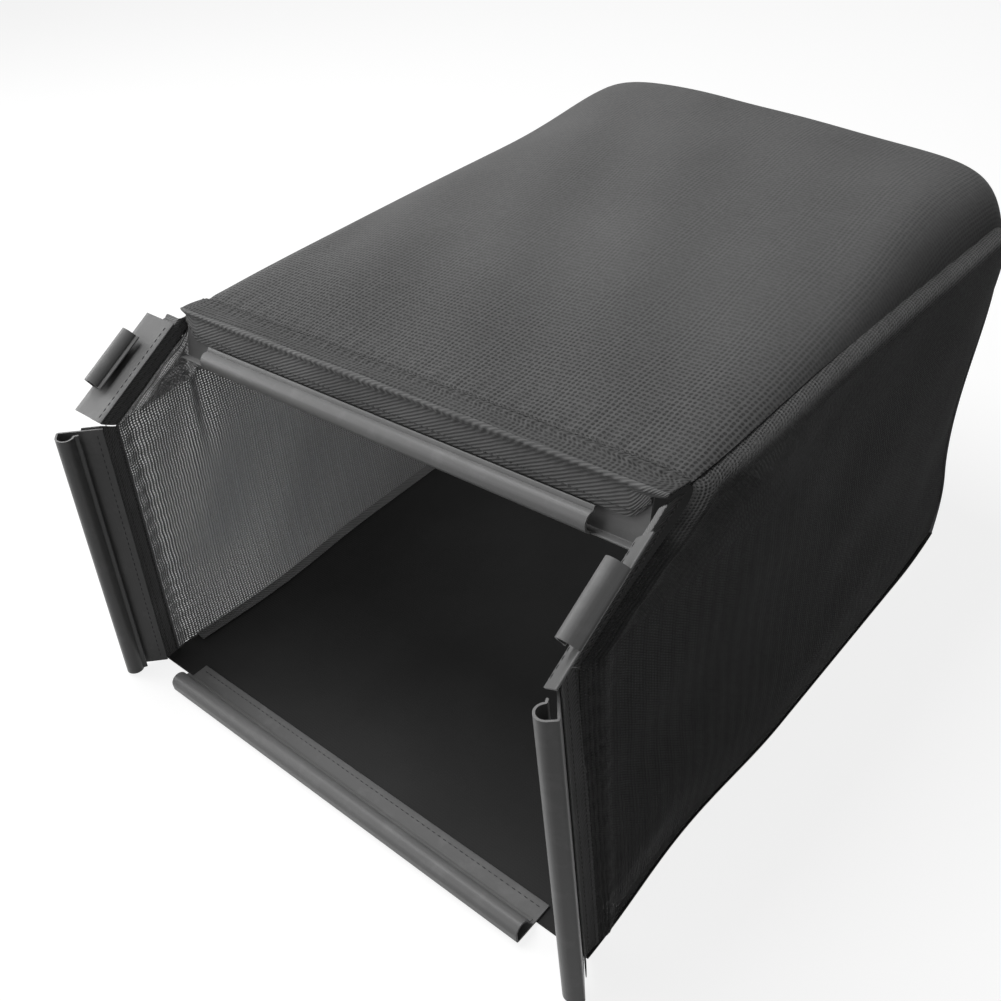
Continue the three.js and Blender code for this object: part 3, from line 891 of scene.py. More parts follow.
@dataclass(frozen=True)
class BagShape:
    """The cut and the stance of the bag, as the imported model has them.

    Lengths are in millimetres. A side view is drawn in y and z, and its outline of the roof and the
    back is counted in rows, from the mouth to the floor.
    """

    fabric: float = 1.2
    floor_sheet: float = 1.2
    gap: float = 0.3
    seam_room: float = 1.5
    floor_length: float = 460
    floor_half_width: float = 214
    floor_rise: float = 8
    floor_rise_run: float = 57
    roof_half_width: float = 207
    roof_front_height: float = 275
    roof_middle_height: float = 274
    roof_back_height: float = 266
    roof_setback: float = 100
    back_overhang: float = 84
    back_corner: float = 26
    waist_high: float = 170
    waist_low: float = 150
    belly_height: float = 63
    belly_reach: float = 18
    crown: float = 31
    crown_run: float = 420
    left_crown_sharpness: float = 5
    right_crown_sharpness: float = 14
    back_bow: float = 22
    bow_sharpness: float = 12
    floor_dent: float = 5
    floor_dent_run: float = 220
    skew: float = 31
    sway: float = 4
    mouth_tilt: float = 3.5
    back_tilt: float = 5
    left_sag: float = 8
    left_sag_place: float = 200
    left_sag_reach: float = 110
    seam_lap: float = 1.2
    side_bulge: float = 8
    mouth_draw: float = 6
    mouth_draw_run: float = 180
    cheek_height: float = 227
    cheek_setback: float = 14
    hem_width: float = 20
    mouth_tape_width: float = 10
    roof_rows: int = 10
    corner_rows: int = 4
    back_rows: int = 8
    foot_rows: int = 2
    upright_rows: int = 9
    foot_sharpness: int = 8
    foot_drop: float = 0.9
    seam_roll: float = 3.2
    seam_roll_run: float = 5.5
    seam_roll_front_rows: float = 1.5
    seam_roll_foot_rows: float = 3

    @property
    def front_y(self) -> float:
        """Front edge of the floor."""
        return -self.floor_length / 2

    @property
    def rear_y(self) -> float:
        """Back edge of the floor."""
        return self.floor_length / 2

    @property
    def rise_start_y(self) -> float:
        """Where the floor begins to curl up."""
        return self.rear_y - self.floor_rise_run

    @property
    def roof_front_y(self) -> float:
        """Front edge of the roof."""
        return self.front_y + self.roof_setback

    @property
    def back_top_y(self) -> float:
        """Top of the back."""
        return self.rear_y + self.back_overhang

    @property
    def roof_end_y(self) -> float:
        """Where the roof turns down into the back."""
        return self.back_top_y - self.back_corner

    @property
    def foot_height(self) -> float:
        """Height at which the back meets the floor."""
        return self.floor_rise + self.floor_sheet + self.gap + self.fabric / 2

    @property
    def standing_height(self) -> float:
        """Height of the lower edge of the cloth that stands on the floor."""
        return self.floor_sheet + 1.5 * self.gap

    @property
    def last_row(self) -> int:
        """The outline's row at the floor."""
        return self.roof_rows + self.corner_rows + self.back_rows + self.foot_rows

    @property
    def corner_row(self) -> float:
        """The outline's row in the middle of the rounding between the roof and the back."""
        return self.roof_rows + self.corner_rows / 2

    def half_width(self, y: Points, z: Points) -> Points:
        """Half of the bag's width at a place on its side.

        Args:
            y: Place from the mouth to the back.
            z: Height.

        Returns:
            The half width.
        """
        height = z / self.roof_middle_height
        drawn = self.mouth_draw * height * (1 - smooth((y - self.front_y) / self.mouth_draw_run))
        share = np.clip((y - self.front_y) / self.floor_dent_run, 0, 1)
        dented = self.floor_dent * np.sin(math.pi * share) ** 2 * np.maximum(0, 1 - height)
        return mix(self.floor_half_width, self.roof_half_width, height) - drawn - dented

    def leaned(self, points: Points) -> Points:
        """Move points of the straight bag to their places on the bag that leans.

        Args:
            points: Points in millimetres.

        Returns:
            The moved points.
        """
        x, y, z = points[..., 0], points[..., 1], points[..., 2]
        side = x / self.floor_half_width
        height = z / self.roof_middle_height
        depth = smooth((y - self.roof_front_y) / (self.rear_y - self.roof_front_y))
        tilt = mix(self.mouth_tilt, -self.back_tilt, smooth(y / self.back_top_y))
        share = np.exp(-(((y - self.left_sag_place) / self.left_sag_reach) ** 2))
        sag = self.left_sag * share * height * np.maximum(0, -side)
        return stack(
            x + self.sway * height,
            y - self.skew * side * height * depth,
            z + tilt * side * height - sag,
        )

    def outline(self, row: Points) -> Points:
        """Side view of the roof and the back.

        Args:
            row: Rows of the outline.

        Returns:
            Points in side view.
        """
        roof_slope_pull = (
            (self.roof_front_y + self.roof_end_y) / 2,
            2 * self.roof_middle_height - (self.roof_front_height + self.roof_back_height) / 2,
        )
        start = (self.roof_front_y, self.roof_front_height)
        end = (self.roof_end_y, self.roof_back_height)
        slope = (end[1] - roof_slope_pull[1]) / (end[0] - roof_slope_pull[0])
        turn = (self.back_top_y, self.roof_back_height + slope * self.back_corner)
        turned = (self.back_top_y, turn[1] - self.back_corner)
        belly = (self.rear_y + self.belly_reach, self.belly_height)
        foot = (self.rear_y, self.foot_height)
        hem = self.hem_width / (self.roof_end_y - self.roof_front_y)
        row = np.asarray(row, float)
        roof_share = np.where(row < 1, hem * row, mix(hem, 1, (row - 1) / (self.roof_rows - 1)))
        back = [turned, (self.back_top_y, self.waist_high), (belly[0], self.waist_low), belly]
        foot_pull = (belly[0], (self.belly_height + foot[1]) / 2)
        back_start = self.roof_rows + self.corner_rows
        foot_start = back_start + self.back_rows
        parts = [
            quadratic(start, roof_slope_pull, end, roof_share),
            quadratic(end, turn, turned, (row - self.roof_rows) / self.corner_rows),
            cubic(back, (row - back_start) / self.back_rows),
            quadratic(belly, foot_pull, foot, (row - foot_start) / self.foot_rows),
        ]
        which = np.digitize(row, [self.roof_rows, back_start, foot_start])[..., None]
        return np.select([which == k for k in range(4)], parts)

    def outline_out(self, row: Points) -> Points:
        """Directions out of the bag in side view.

        Args:
            row: Rows of the outline.

        Returns:
            The directions.
        """
        row = np.asarray(row, float)
        nudge = 0.01
        before = self.outline(np.maximum(row - nudge, 0))
        after = self.outline(np.minimum(row + nudge, self.last_row))
        tangent = unit(after - before)
        return stack(-tangent[..., 1], tangent[..., 0])

    def shell(self, across: Points, row: Points) -> Points:
        """The roof and the back before the lean, with the roll of their cloth into the seam.

        Args:
            across: Share of the half width, from -1 to 1.
            row: Row of the outline.

        Returns:
            Points in millimetres.
        """
        across, row = np.broadcast_arrays(np.asarray(across, float), np.asarray(row, float))
        outline = self.outline(row)
        y, z = outline[..., 0], outline[..., 1]
        grown = smooth((y - self.roof_front_y) / self.crown_run)
        raised = smooth((z - self.belly_height) / (self.roof_front_height - self.belly_height))
        start = self.rise_start_y / 2
        bowed = smooth((y - start) / (self.rear_y - start))
        lifted = smooth((z - self.foot_height) / (self.waist_low - self.foot_height))
        width = self.half_width(y, z) + self.seam_lap
        edge = (1 - np.abs(across)) * width
        ends = smooth(row / self.seam_roll_front_rows)
        ends = ends * smooth((self.last_row - row) / self.seam_roll_foot_rows)
        roll = self.seam_roll * np.exp(-edge / self.seam_roll_run) * ends
        inward = -self.outline_out(row)
        left, right = self.left_crown_sharpness, self.right_crown_sharpness
        crown = 1 - np.abs(across) ** np.where(across < 0, left, right)
        bow = 1 - np.abs(across) ** self.bow_sharpness
        return stack(
            across * width,
            y + self.back_bow * bow * bowed * lifted + inward[..., 0] * roll,
            z + self.crown * crown * grown * raised + inward[..., 1] * roll,
        )

    def floor_top(self, y: Points) -> Points:
        """Height of the floor's upper face."""
        curled = np.maximum(0, (y - self.rise_start_y) / self.floor_rise_run)
        return self.floor_sheet + self.floor_rise * curled**2

    def side_point(self, side: Side, y: Points, z: Points, out: Points | float = 0.0) -> Points:
        """Middle of a side panel's cloth."""
        x = side.value * (self.half_width(y, z) - self.fabric / 2 + out)
        return self.leaned(stack(x, y, z))

    def side_border(self, row: Points, side: Side = Side.RIGHT) -> Points:
        """Where a side panel meets the roof or the back.

        Args:
            row: Rows of the outline.
            side: The side of the bag.

        Returns:
            Points in side view.
        """
        outline = self.outline(row)
        width = self.half_width(outline[..., 0], outline[..., 1])
        shell = self.shell(side.value * width / (width + self.seam_lap), row)
        return shell[..., 1:] - self.outline_out(row) * (self.fabric / 2 + self.seam_room)

    def mouth_line(self, inset: float) -> tuple[Points, Points, Points]:
        """The mouth's edge in side view, moved back into the cloth.

        Args:
            inset: How far it is moved.

        Returns:
            Its bottom, its turn and its top.
        """
        bottom = np.array([self.front_y, self.standing_height])
        cheek = np.array([self.front_y + self.cheek_setback, self.cheek_height])
        top = self.side_border(np.array(0.0))
        upright = unit(cheek - bottom)
        slant = unit(top - cheek)
        low = bottom + inset * np.array([upright[1], -upright[0]])
        low = np.array([low[0], bottom[1]])
        slanted = cheek + inset * np.array([slant[1], -slant[0]])
        turn = upright[0] * slant[1] - upright[1] * slant[0]
        offset = slanted - low
        reach = (offset[0] * slant[1] - offset[1] * slant[0]) / turn
        hem_share = inset / (self.mouth_tape_width + 2 * self.gap)
        return low, low + reach * upright, self.side_border(np.array(hem_share))


# Sub-assemblies


@dataclass
class RoofAndBack:
    """One length of mesh cloth that runs back over the bag and down its back.

    Shallow waves and a band of ridges cross it, and calm down towards the seams and the back's
    upper corner. The hem's stitches pull a valley into it, with small puckers behind.
    """

    shape: BagShape
    finishes: Finishes
    columns: int = 150
    rows: int = 300
    stations: int = 600
    crowding: float = 0.35
    cloth: float = 0.7
    calm_edge: float = 40.0
    calm_front: float = 60.0
    calm_foot: float = 80.0
    corner_calm: float = 0.8
    corner_place: float = 500.0
    corner_reach: float = 75.0
    wave_seed: int = 11
    wave_height: float = 1.6
    wave_lengths: tuple[float, float] = (90.0, 260.0)
    ridge_height: float = 1.5
    ridge_lean: float = 0.75
    ridge_run: float = 34.0
    ridge_place: float = 330.0
    ridge_reach: float = 120.0
    pucker_seed: int = 5
    pucker_height: float = 0.4
    pucker_pitch: float = 15.0
    pucker_lengths: tuple[float, float] = (60.0, 160.0)
    pucker_wobble: float = 2.0
    pucker_reach: float = 14.0
    pucker_edge: float = 15.0
    valley: float = 0.8
    valley_place: float = 24.0
    valley_reach: float = 4.0
    hem_reach: float = 5.0
    foot_run: float = 14.0

    def station(self, share: Points) -> Points:
        """Rows of the outline at even distances along it.

        Args:
            share: Shares of the outline's length.

        Returns:
            The rows.
        """
        rows = np.linspace(0, self.shape.last_row, self.stations)
        walked = run_lengths(self.shape.outline(rows)[None], 1)[0]
        return np.interp(share * walked[-1], walked, rows)

    def waves(self, x: Points, walked: Points, edge: Points) -> Points:
        """Height of the waves and ridges over the smooth cloth.

        Args:
            x: Places across the bag.
            walked: Distance along the cloth from the mouth.
            edge: Distance from the nearer side seam.

        Returns:
            The heights.
        """
        calm = smooth(edge / self.calm_edge) * smooth(walked / self.calm_front)
        calm = calm * smooth((walked[-1:] - walked) / self.calm_foot)
        corner = np.exp(-(((walked - self.corner_place) / self.corner_reach) ** 2))
        calm = calm * (1 - self.corner_calm * corner)
        waves = self.wave_height * Ripples(self.wave_seed, *self.wave_lengths).at(x, walked)
        ridges = self.ridge_height * np.sin((self.ridge_lean * x + walked) / self.ridge_run)
        band = np.exp(-(((walked - self.ridge_place) / self.ridge_reach) ** 2))
        return calm * (waves + ridges * band)

    def puckers(self, x: Points, walked: Points, edge: Points) -> Points:
        """Height of the valley under the hem's stitches and of the puckers behind it.

        Args:
            x: Places across the bag.
            walked: Distance along the cloth from the mouth.
            edge: Distance from the nearer side seam.

        Returns:
            The heights.
        """
        wobble = self.pucker_wobble * Ripples(self.pucker_seed, *self.pucker_lengths).at(x, 0 * x)
        puckers = self.pucker_height * np.sin(2 * math.pi * x / self.pucker_pitch + wobble)
        behind = walked - self.valley_place
        puckers = puckers * np.exp(-np.abs(behind) / self.pucker_reach)
        puckers = puckers * smooth(edge / self.pucker_edge)
        puckers = puckers * smooth((behind + self.hem_reach) / self.hem_reach)
        return puckers - self.valley * np.exp(-((behind / self.valley_reach) ** 2))

    def grid(self) -> Points:
        """Middle points of the cloth.

        Returns:
            Points in millimetres, as rows from the mouth to the floor.
        """
        shape = self.shape
        even = np.linspace(-1, 1, self.columns)
        across = self.crowding * np.sin(even * math.pi / 2) + (1 - self.crowding) * even
        row = self.station(np.linspace(0, 1, self.rows))
        grid = shape.shell(across[None, :], row[:, None])
        walked = run_lengths(grid, 0)
        edge = (1 - np.abs(across))[None, :] * shape.roof_half_width
        x = grid[..., 0]
        relief = self.waves(x, walked, edge) + self.puckers(x, walked, edge)
        grid = grid + sheet_normals(grid) * relief[..., None]
        foot = smooth((walked - walked[-1:] + self.foot_run) / self.foot_run)
        return shape.leaned(grid - stack(0.0, 0.0, shape.foot_drop * foot))

    def build(self) -> bpy.types.Object:
        """Make the cloth.

        Returns:
            The piece.
        """
        mesh = sheet_mesh("roof_and_back", self.grid(), self.cloth)
        finishes = [self.finishes.roof, self.finishes.lining]
        piece = add_piece("roof_and_back_cloth", mesh, finishes)
        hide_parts("roof_and_back_panel")
        return piece


@dataclass(frozen=True)
class PanelPlaces:
    """Places on a side panel: in side view, and as distances from its four borders."""

    y: Points
    z: Points
    from_front: Points
    from_back: Points
    from_top: Points
    from_floor: Points


@dataclass
class SidePanel:
    """A side of mesh cloth, stretched between the mouth, the roof, the back and the floor.

    It bulges, has a soft shoulder under the roof's seam, and is uneven with waves that calm down
    towards its borders. Slanted drapes, a tuck and puckers stand near the mouth. The left side
    has a gather in its upper front corner as well.
    """

    shape: BagShape
    finishes: Finishes
    side: Side
    columns: int = 220
    rows: int = 160
    crowding: float = 1.5
    cloth: float = 0.7
    length: float = 440.0
    height: float = 262.0
    floor_clearance: float = 0.05
    bulge_sharpness: int = 4
    shoulder: float = 12.0
    left_shoulder_share: float = 0.3
    shoulder_depth: float = 11.0
    shoulder_fall: float = 60.0
    shoulder_front: float = 12.0
    shoulder_back: float = 40.0
    calm_ends: float = 50.0
    calm_edges: float = 40.0
    left_seed: int = 34
    right_seed: int = 21
    wave_height: float = 1.3
    wave_lengths: tuple[float, float] = (70.0, 220.0)
    drape_height: float = 1.4
    drape_lean: float = 0.8
    drape_run: float = 17.0
    drape_reach: float = 90.0
    drape_lengths: tuple[float, float] = (80.0, 200.0)
    gather: float = 4.0
    gather_place: tuple[float, float] = (-136.0, 205.0)
    gather_lean: float = 0.12
    gather_width: float = 8.0
    gather_foot: float = 70.0
    gather_fade: float = 60.0
    tuck: float = 2.4
    tuck_place: float = 10.0
    tuck_reach: float = 5.0
    fold_fade: float = 15.0
    pucker_height: float = 0.9
    pucker_pitch: float = 15.0
    pucker_lengths: tuple[float, float] = (40.0, 110.0)
    pucker_wobble: float = 2.0
    pucker_reach: float = 16.0
    pucker_start: float = 4.0
    pucker_fade: float = 12.0

    @property
    def seed(self) -> int:
        """The first of the three seeds of this side's unevenness."""
        return self.right_seed if self.side is Side.RIGHT else self.left_seed

    def borders(self, u: Points, v: Points) -> tuple[Points, Points, Points, Points]:
        """The panel's borders in side view.

        Args:
            u: Shares of the way back along the upper and lower borders.
            v: Shares of the way up along the front and back borders.

        Returns:
            The front, back, upper and lower borders.
        """
        shape = self.shape
        low, cheek, top = shape.mouth_line(shape.mouth_tape_width + 2 * shape.gap)
        bend = shape.upright_rows / (shape.last_row - shape.corner_row)
        first = mix(low, cheek, np.clip(v / bend, 0, 1)[:, None])
        second = mix(cheek, top, np.clip((v - bend) / (1 - bend), 0, 1)[:, None])
        front = np.where((v < bend)[:, None], first, second)
        back = shape.side_border(mix(shape.last_row, shape.corner_row, v), self.side)
        upper = shape.side_border(mix(1.0, shape.corner_row, u), self.side)
        y = mix(low[0], back[0, 0], u)
        start = shape.floor_top(y) + self.floor_clearance
        z = mix(start, back[0, 1] - shape.foot_drop, u**shape.foot_sharpness)
        return front, back, upper, stack(y, z)

    def places(self) -> PanelPlaces:
        """Places of the panel's grid, in rows that crowd towards the roof.

        Returns:
            The places.
        """
        u = np.linspace(0, 1, self.columns)
        v = 1 - np.linspace(1, 0, self.rows) ** self.crowding
        front, back, upper, lower = self.borders(u, v)
        a, b = u[None, :, None], v[:, None, None]
        patch = lower[None] * (1 - b) + upper[None] * b
        patch = patch + front[:, None] * (1 - a) + back[:, None] * a
        patch = patch - front[0] * (1 - a) * (1 - b) - back[0] * a * (1 - b)
        patch = patch - upper[0] * (1 - a) * b - upper[-1] * a * b
        a, b = a[..., 0], b[..., 0]
        return PanelPlaces(
            y=patch[..., 0],
            z=patch[..., 1],
            from_front=a * self.length,
            from_back=(1 - a) * self.length,
            from_top=(1 - b) * self.height,
            from_floor=b * self.height,
        )

    def form(self, at: PanelPlaces) -> Points:
        """How far the bulge and the shoulder stand out.

        Args:
            at: The places.

        Returns:
            The heights.
        """
        a, b = at.from_front / self.length, at.from_floor / self.height
        sharp = self.bulge_sharpness
        bulge = self.shape.side_bulge * (1 - (2 * a - 1) ** sharp) * (1 - (2 * b - 1) ** sharp)
        ends = smooth((at.from_front + self.shoulder_front) / (2 * self.shoulder_front))
        ends = ends * smooth(at.from_back / self.shoulder_back)
        short = np.clip(1 - at.from_top / self.shoulder_depth, 0, 1)
        below = np.maximum(at.from_top - self.shoulder_depth, 0)
        shoulder = self.shoulder * np.cbrt(1 - short**3) * np.exp(-below / self.shoulder_fall)
        share = self.left_shoulder_share if self.side is Side.LEFT else 1.0
        return bulge + share * shoulder * ends

    def waves(self, at: PanelPlaces) -> Points:
        """How far the waves and the slanted drapes stand out.

        Args:
            at: The places.

        Returns:
            The heights.
        """
        calm = smooth(at.from_front / self.calm_ends) * smooth(at.from_back / self.calm_ends)
        calm = calm * smooth(at.from_top / self.calm_edges) * smooth(at.from_floor / self.calm_edges)
        waves = self.wave_height * Ripples(self.seed, *self.wave_lengths).at(at.y, at.z)
        wobble = Ripples(self.seed + 1, *self.drape_lengths).at(at.y, at.z)
        drape = np.sin((self.drape_lean * at.y - at.z) / self.drape_run + wobble)
        drape = self.drape_height * drape * np.exp(-at.from_front / self.drape_reach)
        return calm * (waves + drape)

    def folds(self, at: PanelPlaces) -> Points:
        """How far the gather, the tuck and the puckers near the mouth stand out.

        Args:
            at: The places.

        Returns:
            The heights.
        """
        top = smooth(at.from_top / self.fold_fade)
        tuck = ((at.from_front - self.tuck_place) / self.tuck_reach) ** 2
        folds = self.tuck * np.exp(-tuck) * top
        if self.side is Side.LEFT:
            height = at.z - self.gather_place[1]
            place = (at.y - self.gather_place[0] - self.gather_lean * height) / self.gather_width
            fade = smooth((height + self.gather_foot) / self.gather_fade)
            folds = folds + self.gather * place * np.exp(-(place**2)) * fade * top
        wobble = Ripples(self.seed + 2, *self.pucker_lengths).at(at.z, 0 * at.z)
        pucker = np.sin(2 * math.pi * at.z / self.pucker_pitch + self.pucker_wobble * wobble)
        pucker = pucker * np.exp(-at.from_front / self.pucker_reach)
        pucker = pucker * (1 - np.exp(-at.from_front / self.pucker_start))
        ends = smooth(at.from_floor / self.pucker_fade) * smooth(at.from_top / self.pucker_fade)
        return folds + self.pucker_height * pucker * ends

    def grid(self) -> Points:
        """Middle points of the cloth.

        Returns:
            Points in millimetres, as rows from the floor to the roof.
        """
        at = self.places()
        out = self.form(at) + self.waves(at) + self.folds(at)
        return self.shape.side_point(self.side, at.y, at.z, out)

    def build(self) -> bpy.types.Object:
        """Make the cloth.

        Returns:
            The piece.
        """
        word = self.side.word
        mesh = sheet_mesh(f"{word}_side", self.grid(), self.cloth, flip=self.side is Side.LEFT)
        finishes = [self.finishes.wall, self.finishes.lining]
        piece = add_piece(f"{word}_side_cloth", mesh, finishes)
        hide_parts(f"{word}_side_panel")
        return piece


@dataclass
class FloorPanel:
    """The coated floor sheet, flat on the ground, with its back end curled up."""

    shape: BagShape
    finishes: Finishes
    columns: int = 60
    rows: int = 90

    def grid(self) -> Points:
        """Middle points of the sheet.

        Returns:
            Points in millimetres, as rows from the mouth to the back.
        """
        shape = self.shape
        y = np.linspace(shape.front_y, shape.rear_y, self.rows)[:, None]
        across = np.linspace(-1, 1, self.columns)[None, :]
        x = across * (shape.half_width(y, np.zeros_like(y)) + shape.seam_lap)
        return stack(x, y, shape.floor_top(y) - shape.floor_sheet / 2)

    def build(self) -> bpy.types.Object:
        """Make the sheet.

        Returns:
            The piece.
        """
        mesh = sheet_mesh("floor", self.grid(), self.shape.floor_sheet)
        finishes = [self.finishes.floor, self.finishes.floor]
        piece = add_piece("floor_sheet", mesh, finishes)
        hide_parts("floor_panel")
        return piece


@dataclass(frozen=True)
class ClipSection:
    """The section that all the clips are cut from: a flat flange, a front wall and a round hook."""

    flange: float = 30.0
    wall: float = 1.4
    radius: float = 5.9
    lip: float = 2.7
    throat: float = 3.9
    flange_steps: int = 9
    bend_steps: int = 7
    wall_steps: int = 4
    hook_steps: int = 29

    def middle_line(self, cut: float | None) -> Points:
        """Middle line of the section, from the sewn edge round the hook to the lip.

        Args:
            cut: Height at which the section is cut off, or None for the whole hook.

        Returns:
            Points of the section.
        """
        if cut is not None and cut <= self.wall:
            return stack(np.linspace(self.flange, 0, self.flange_steps), 0.0)
        flat = stack(np.linspace(self.flange, self.wall, self.flange_steps)[:-1], 0.0)
        share = np.linspace(0, 1, self.bend_steps)
        bend = quadratic((self.wall, 0), (0, 0), (0, self.wall), share)
        top = self.radius if cut is None else cut
        rise = stack(0.0, np.linspace(self.wall, top, self.wall_steps)[1:])
        if cut is not None:
            return np.concatenate([flat, bend, rise])
        turn = np.linspace(math.pi, 0, self.hook_steps)[1:]
        hook = self.radius * stack(1 + np.cos(turn), 1 + np.sin(turn))
        reach = np.linspace(0, 1, self.wall_steps)[1:]
        lip_height = mix(self.radius, self.throat + self.wall, reach)
        lip = stack(2 * self.radius + self.lip * reach, lip_height)
        return np.concatenate([flat, bend, rise, hook, lip])

    def outline(self, cut: float | None) -> Points:
        """Closed outline of the section with rounded edges.

        Args:
            cut: Height at which the section is cut off, or None for the whole hook.

        Returns:
            Points of the outline.
        """
        line = self.middle_line(cut)
        tangent = unit(np.gradient(line, axis=0))
        aside = stack(-tangent[:, 1], tangent[:, 0]) * self.wall / 2
        turns = np.linspace(0, math.pi, self.bend_steps)[1:-1]

        def cap(centre: Points, across: Points, ahead: Points) -> Points:
            """Round end of the wall."""
            return centre + np.cos(turns)[:, None] * across + np.sin(turns)[:, None] * ahead

        far = cap(line[-1], aside[-1], tangent[-1] * self.wall / 2)
        near = cap(line[0], -aside[0], -tangent[0] * self.wall / 2)
        return np.concatenate([line + aside, far, (line - aside)[::-1], near])


@dataclass(frozen=True)
class ClipPlace:
    """Where a clip stands: its corner, and the way back along its flange and up to its hook."""

    name: str
    corner: Points
    back: Points
    up: Points
    length: float
    hook_length: float
    end_wall: float = 0.0

    def point(self, x: Points | float, y: Points | float, along: Points) -> Points:
        """Turn places on the clip into the bag's frame.

        Args:
            x: Distance back along the flange.
            y: Distance up from the flange.
            along: Distance along the clip from its middle.

        Returns:
            Points in millimetres.
        """
        x, y, along = (part[..., None] for part in np.broadcast_arrays(x, y, along))
        return self.corner + x * self.back + y * self.up + along * np.cross(self.back, self.up)


@dataclass(frozen=True)
class ClipLayout:
    """Where the six clips stand round the mouth, worked out from the bag's shape."""

    shape: BagShape
    section: ClipSection
    bottom_length: float = 352.0
    bottom_reach: float = 18.0
    top_length: float = 396.0
    top_hook_length: float = 334.0
    top_end_wall: float = 6.1
    top_lean: float = 18.0
    side_length: float = 222.9
    side_trim: float = 3.0
    side_flare: float = 40.0
    corner_length: float = 86.0
    corner_hook_length: float = 45.0
    corner_flares: tuple[float, float] = (88.0, 38.0)
    corner_middles: tuple[float, float] = (43.6, 31.0)

    def bottom(self) -> ClipPlace:
        """Place the bottom clip, with its flange on the front of the floor.

        Returns:
            The clip's place.
        """
        shape = self.shape
        height = shape.floor_sheet + shape.gap + self.section.wall / 2
        corner = np.array([0.0, shape.front_y - self.bottom_reach, height])
        back, up = np.array([0.0, 1.0, 0.0]), np.array([0.0, 0.0, 1.0])
        return ClipPlace("bottom_clip", corner, back, up, self.bottom_length, self.bottom_length)

    def top(self) -> ClipPlace:
        """Place the top clip, which hangs from the roof's front edge with its hook in front.

        Returns:
            The clip's place.
        """
        shape, section = self.shape, self.section
        height = shape.roof_front_height - shape.fabric / 2 - shape.gap - section.wall / 2
        half = self.top_length / 2
        start, end = shape.leaned(stack([-half, half], shape.roof_front_y, height))
        along = unit(end - start)
        lean = math.radians(self.top_lean)
        back = np.array([0.0, math.sin(lean), math.cos(lean)])
        back = unit(back - (along @ back) * along)
        corner = (start + end) / 2 - section.flange * back
        return ClipPlace("top_clip", corner, back, np.cross(along, back), self.top_length,
                         self.top_hook_length, self.top_end_wall)

    def beside(self, side: Side, stretch: Stretch, flare: float, lengths: tuple[float, float],
               middle: float | None = None) -> ClipPlace:
        """Place a clip on a side of the mouth, with its flange turned out from the cloth.

        Args:
            side: The side of the bag.
            stretch: The stretch of the mouth.
            flare: Degrees by which the flange turns out.
            lengths: The clip's length and its hook's.
            middle: Distance of the clip's middle from the stretch's lower end, or None for the
                middle of the stretch less its trim.

        Returns:
            The clip's place.
        """
        shape, section = self.shape, self.section
        spots = shape.mouth_line(0.0)[stretch.value:stretch.value + 2]
        low, high = (shape.side_point(side, spot[0], spot[1]) for spot in spots)
        along = unit(high - low)
        edge = unit(spots[1] - spots[0])
        forward = np.array([0.0, -edge[1], edge[0]])
        outward = unit(np.cross(along, forward))
        outward = outward * math.copysign(1.0, outward[0] * side.value)
        straight = unit(np.cross(outward, along))
        straight = straight * math.copysign(1.0, straight @ forward)
        angle = math.radians(flare)
        flared = math.cos(angle) * straight + math.sin(angle) * outward
        up = math.sin(angle) * straight - math.cos(angle) * outward
        if middle is None:
            middle = (float(np.linalg.norm(high - low)) - self.side_trim) / 2
        lap = shape.fabric / 2 + shape.gap + section.wall / 2
        corner = low + middle * along + lap * up + section.flange * flared
        return ClipPlace(f"{side.word}_{stretch.word}_clip", corner, -flared, up, *lengths)

    def places(self) -> dict[str, ClipPlace]:
        """Place all the clips.

        Returns:
            Their places by name.
        """
        made = [self.bottom(), self.top()]
        lengths = (self.side_length, self.side_length)
        made += [self.beside(side, Stretch.SIDE, self.side_flare, lengths) for side in Side]
        lengths = (self.corner_length, self.corner_hook_length)
        for side, flare, middle in zip(Side, self.corner_flares, self.corner_middles):
            made.append(self.beside(side, Stretch.CORNER, flare, lengths, middle))
        return {place.name: place for place in made}


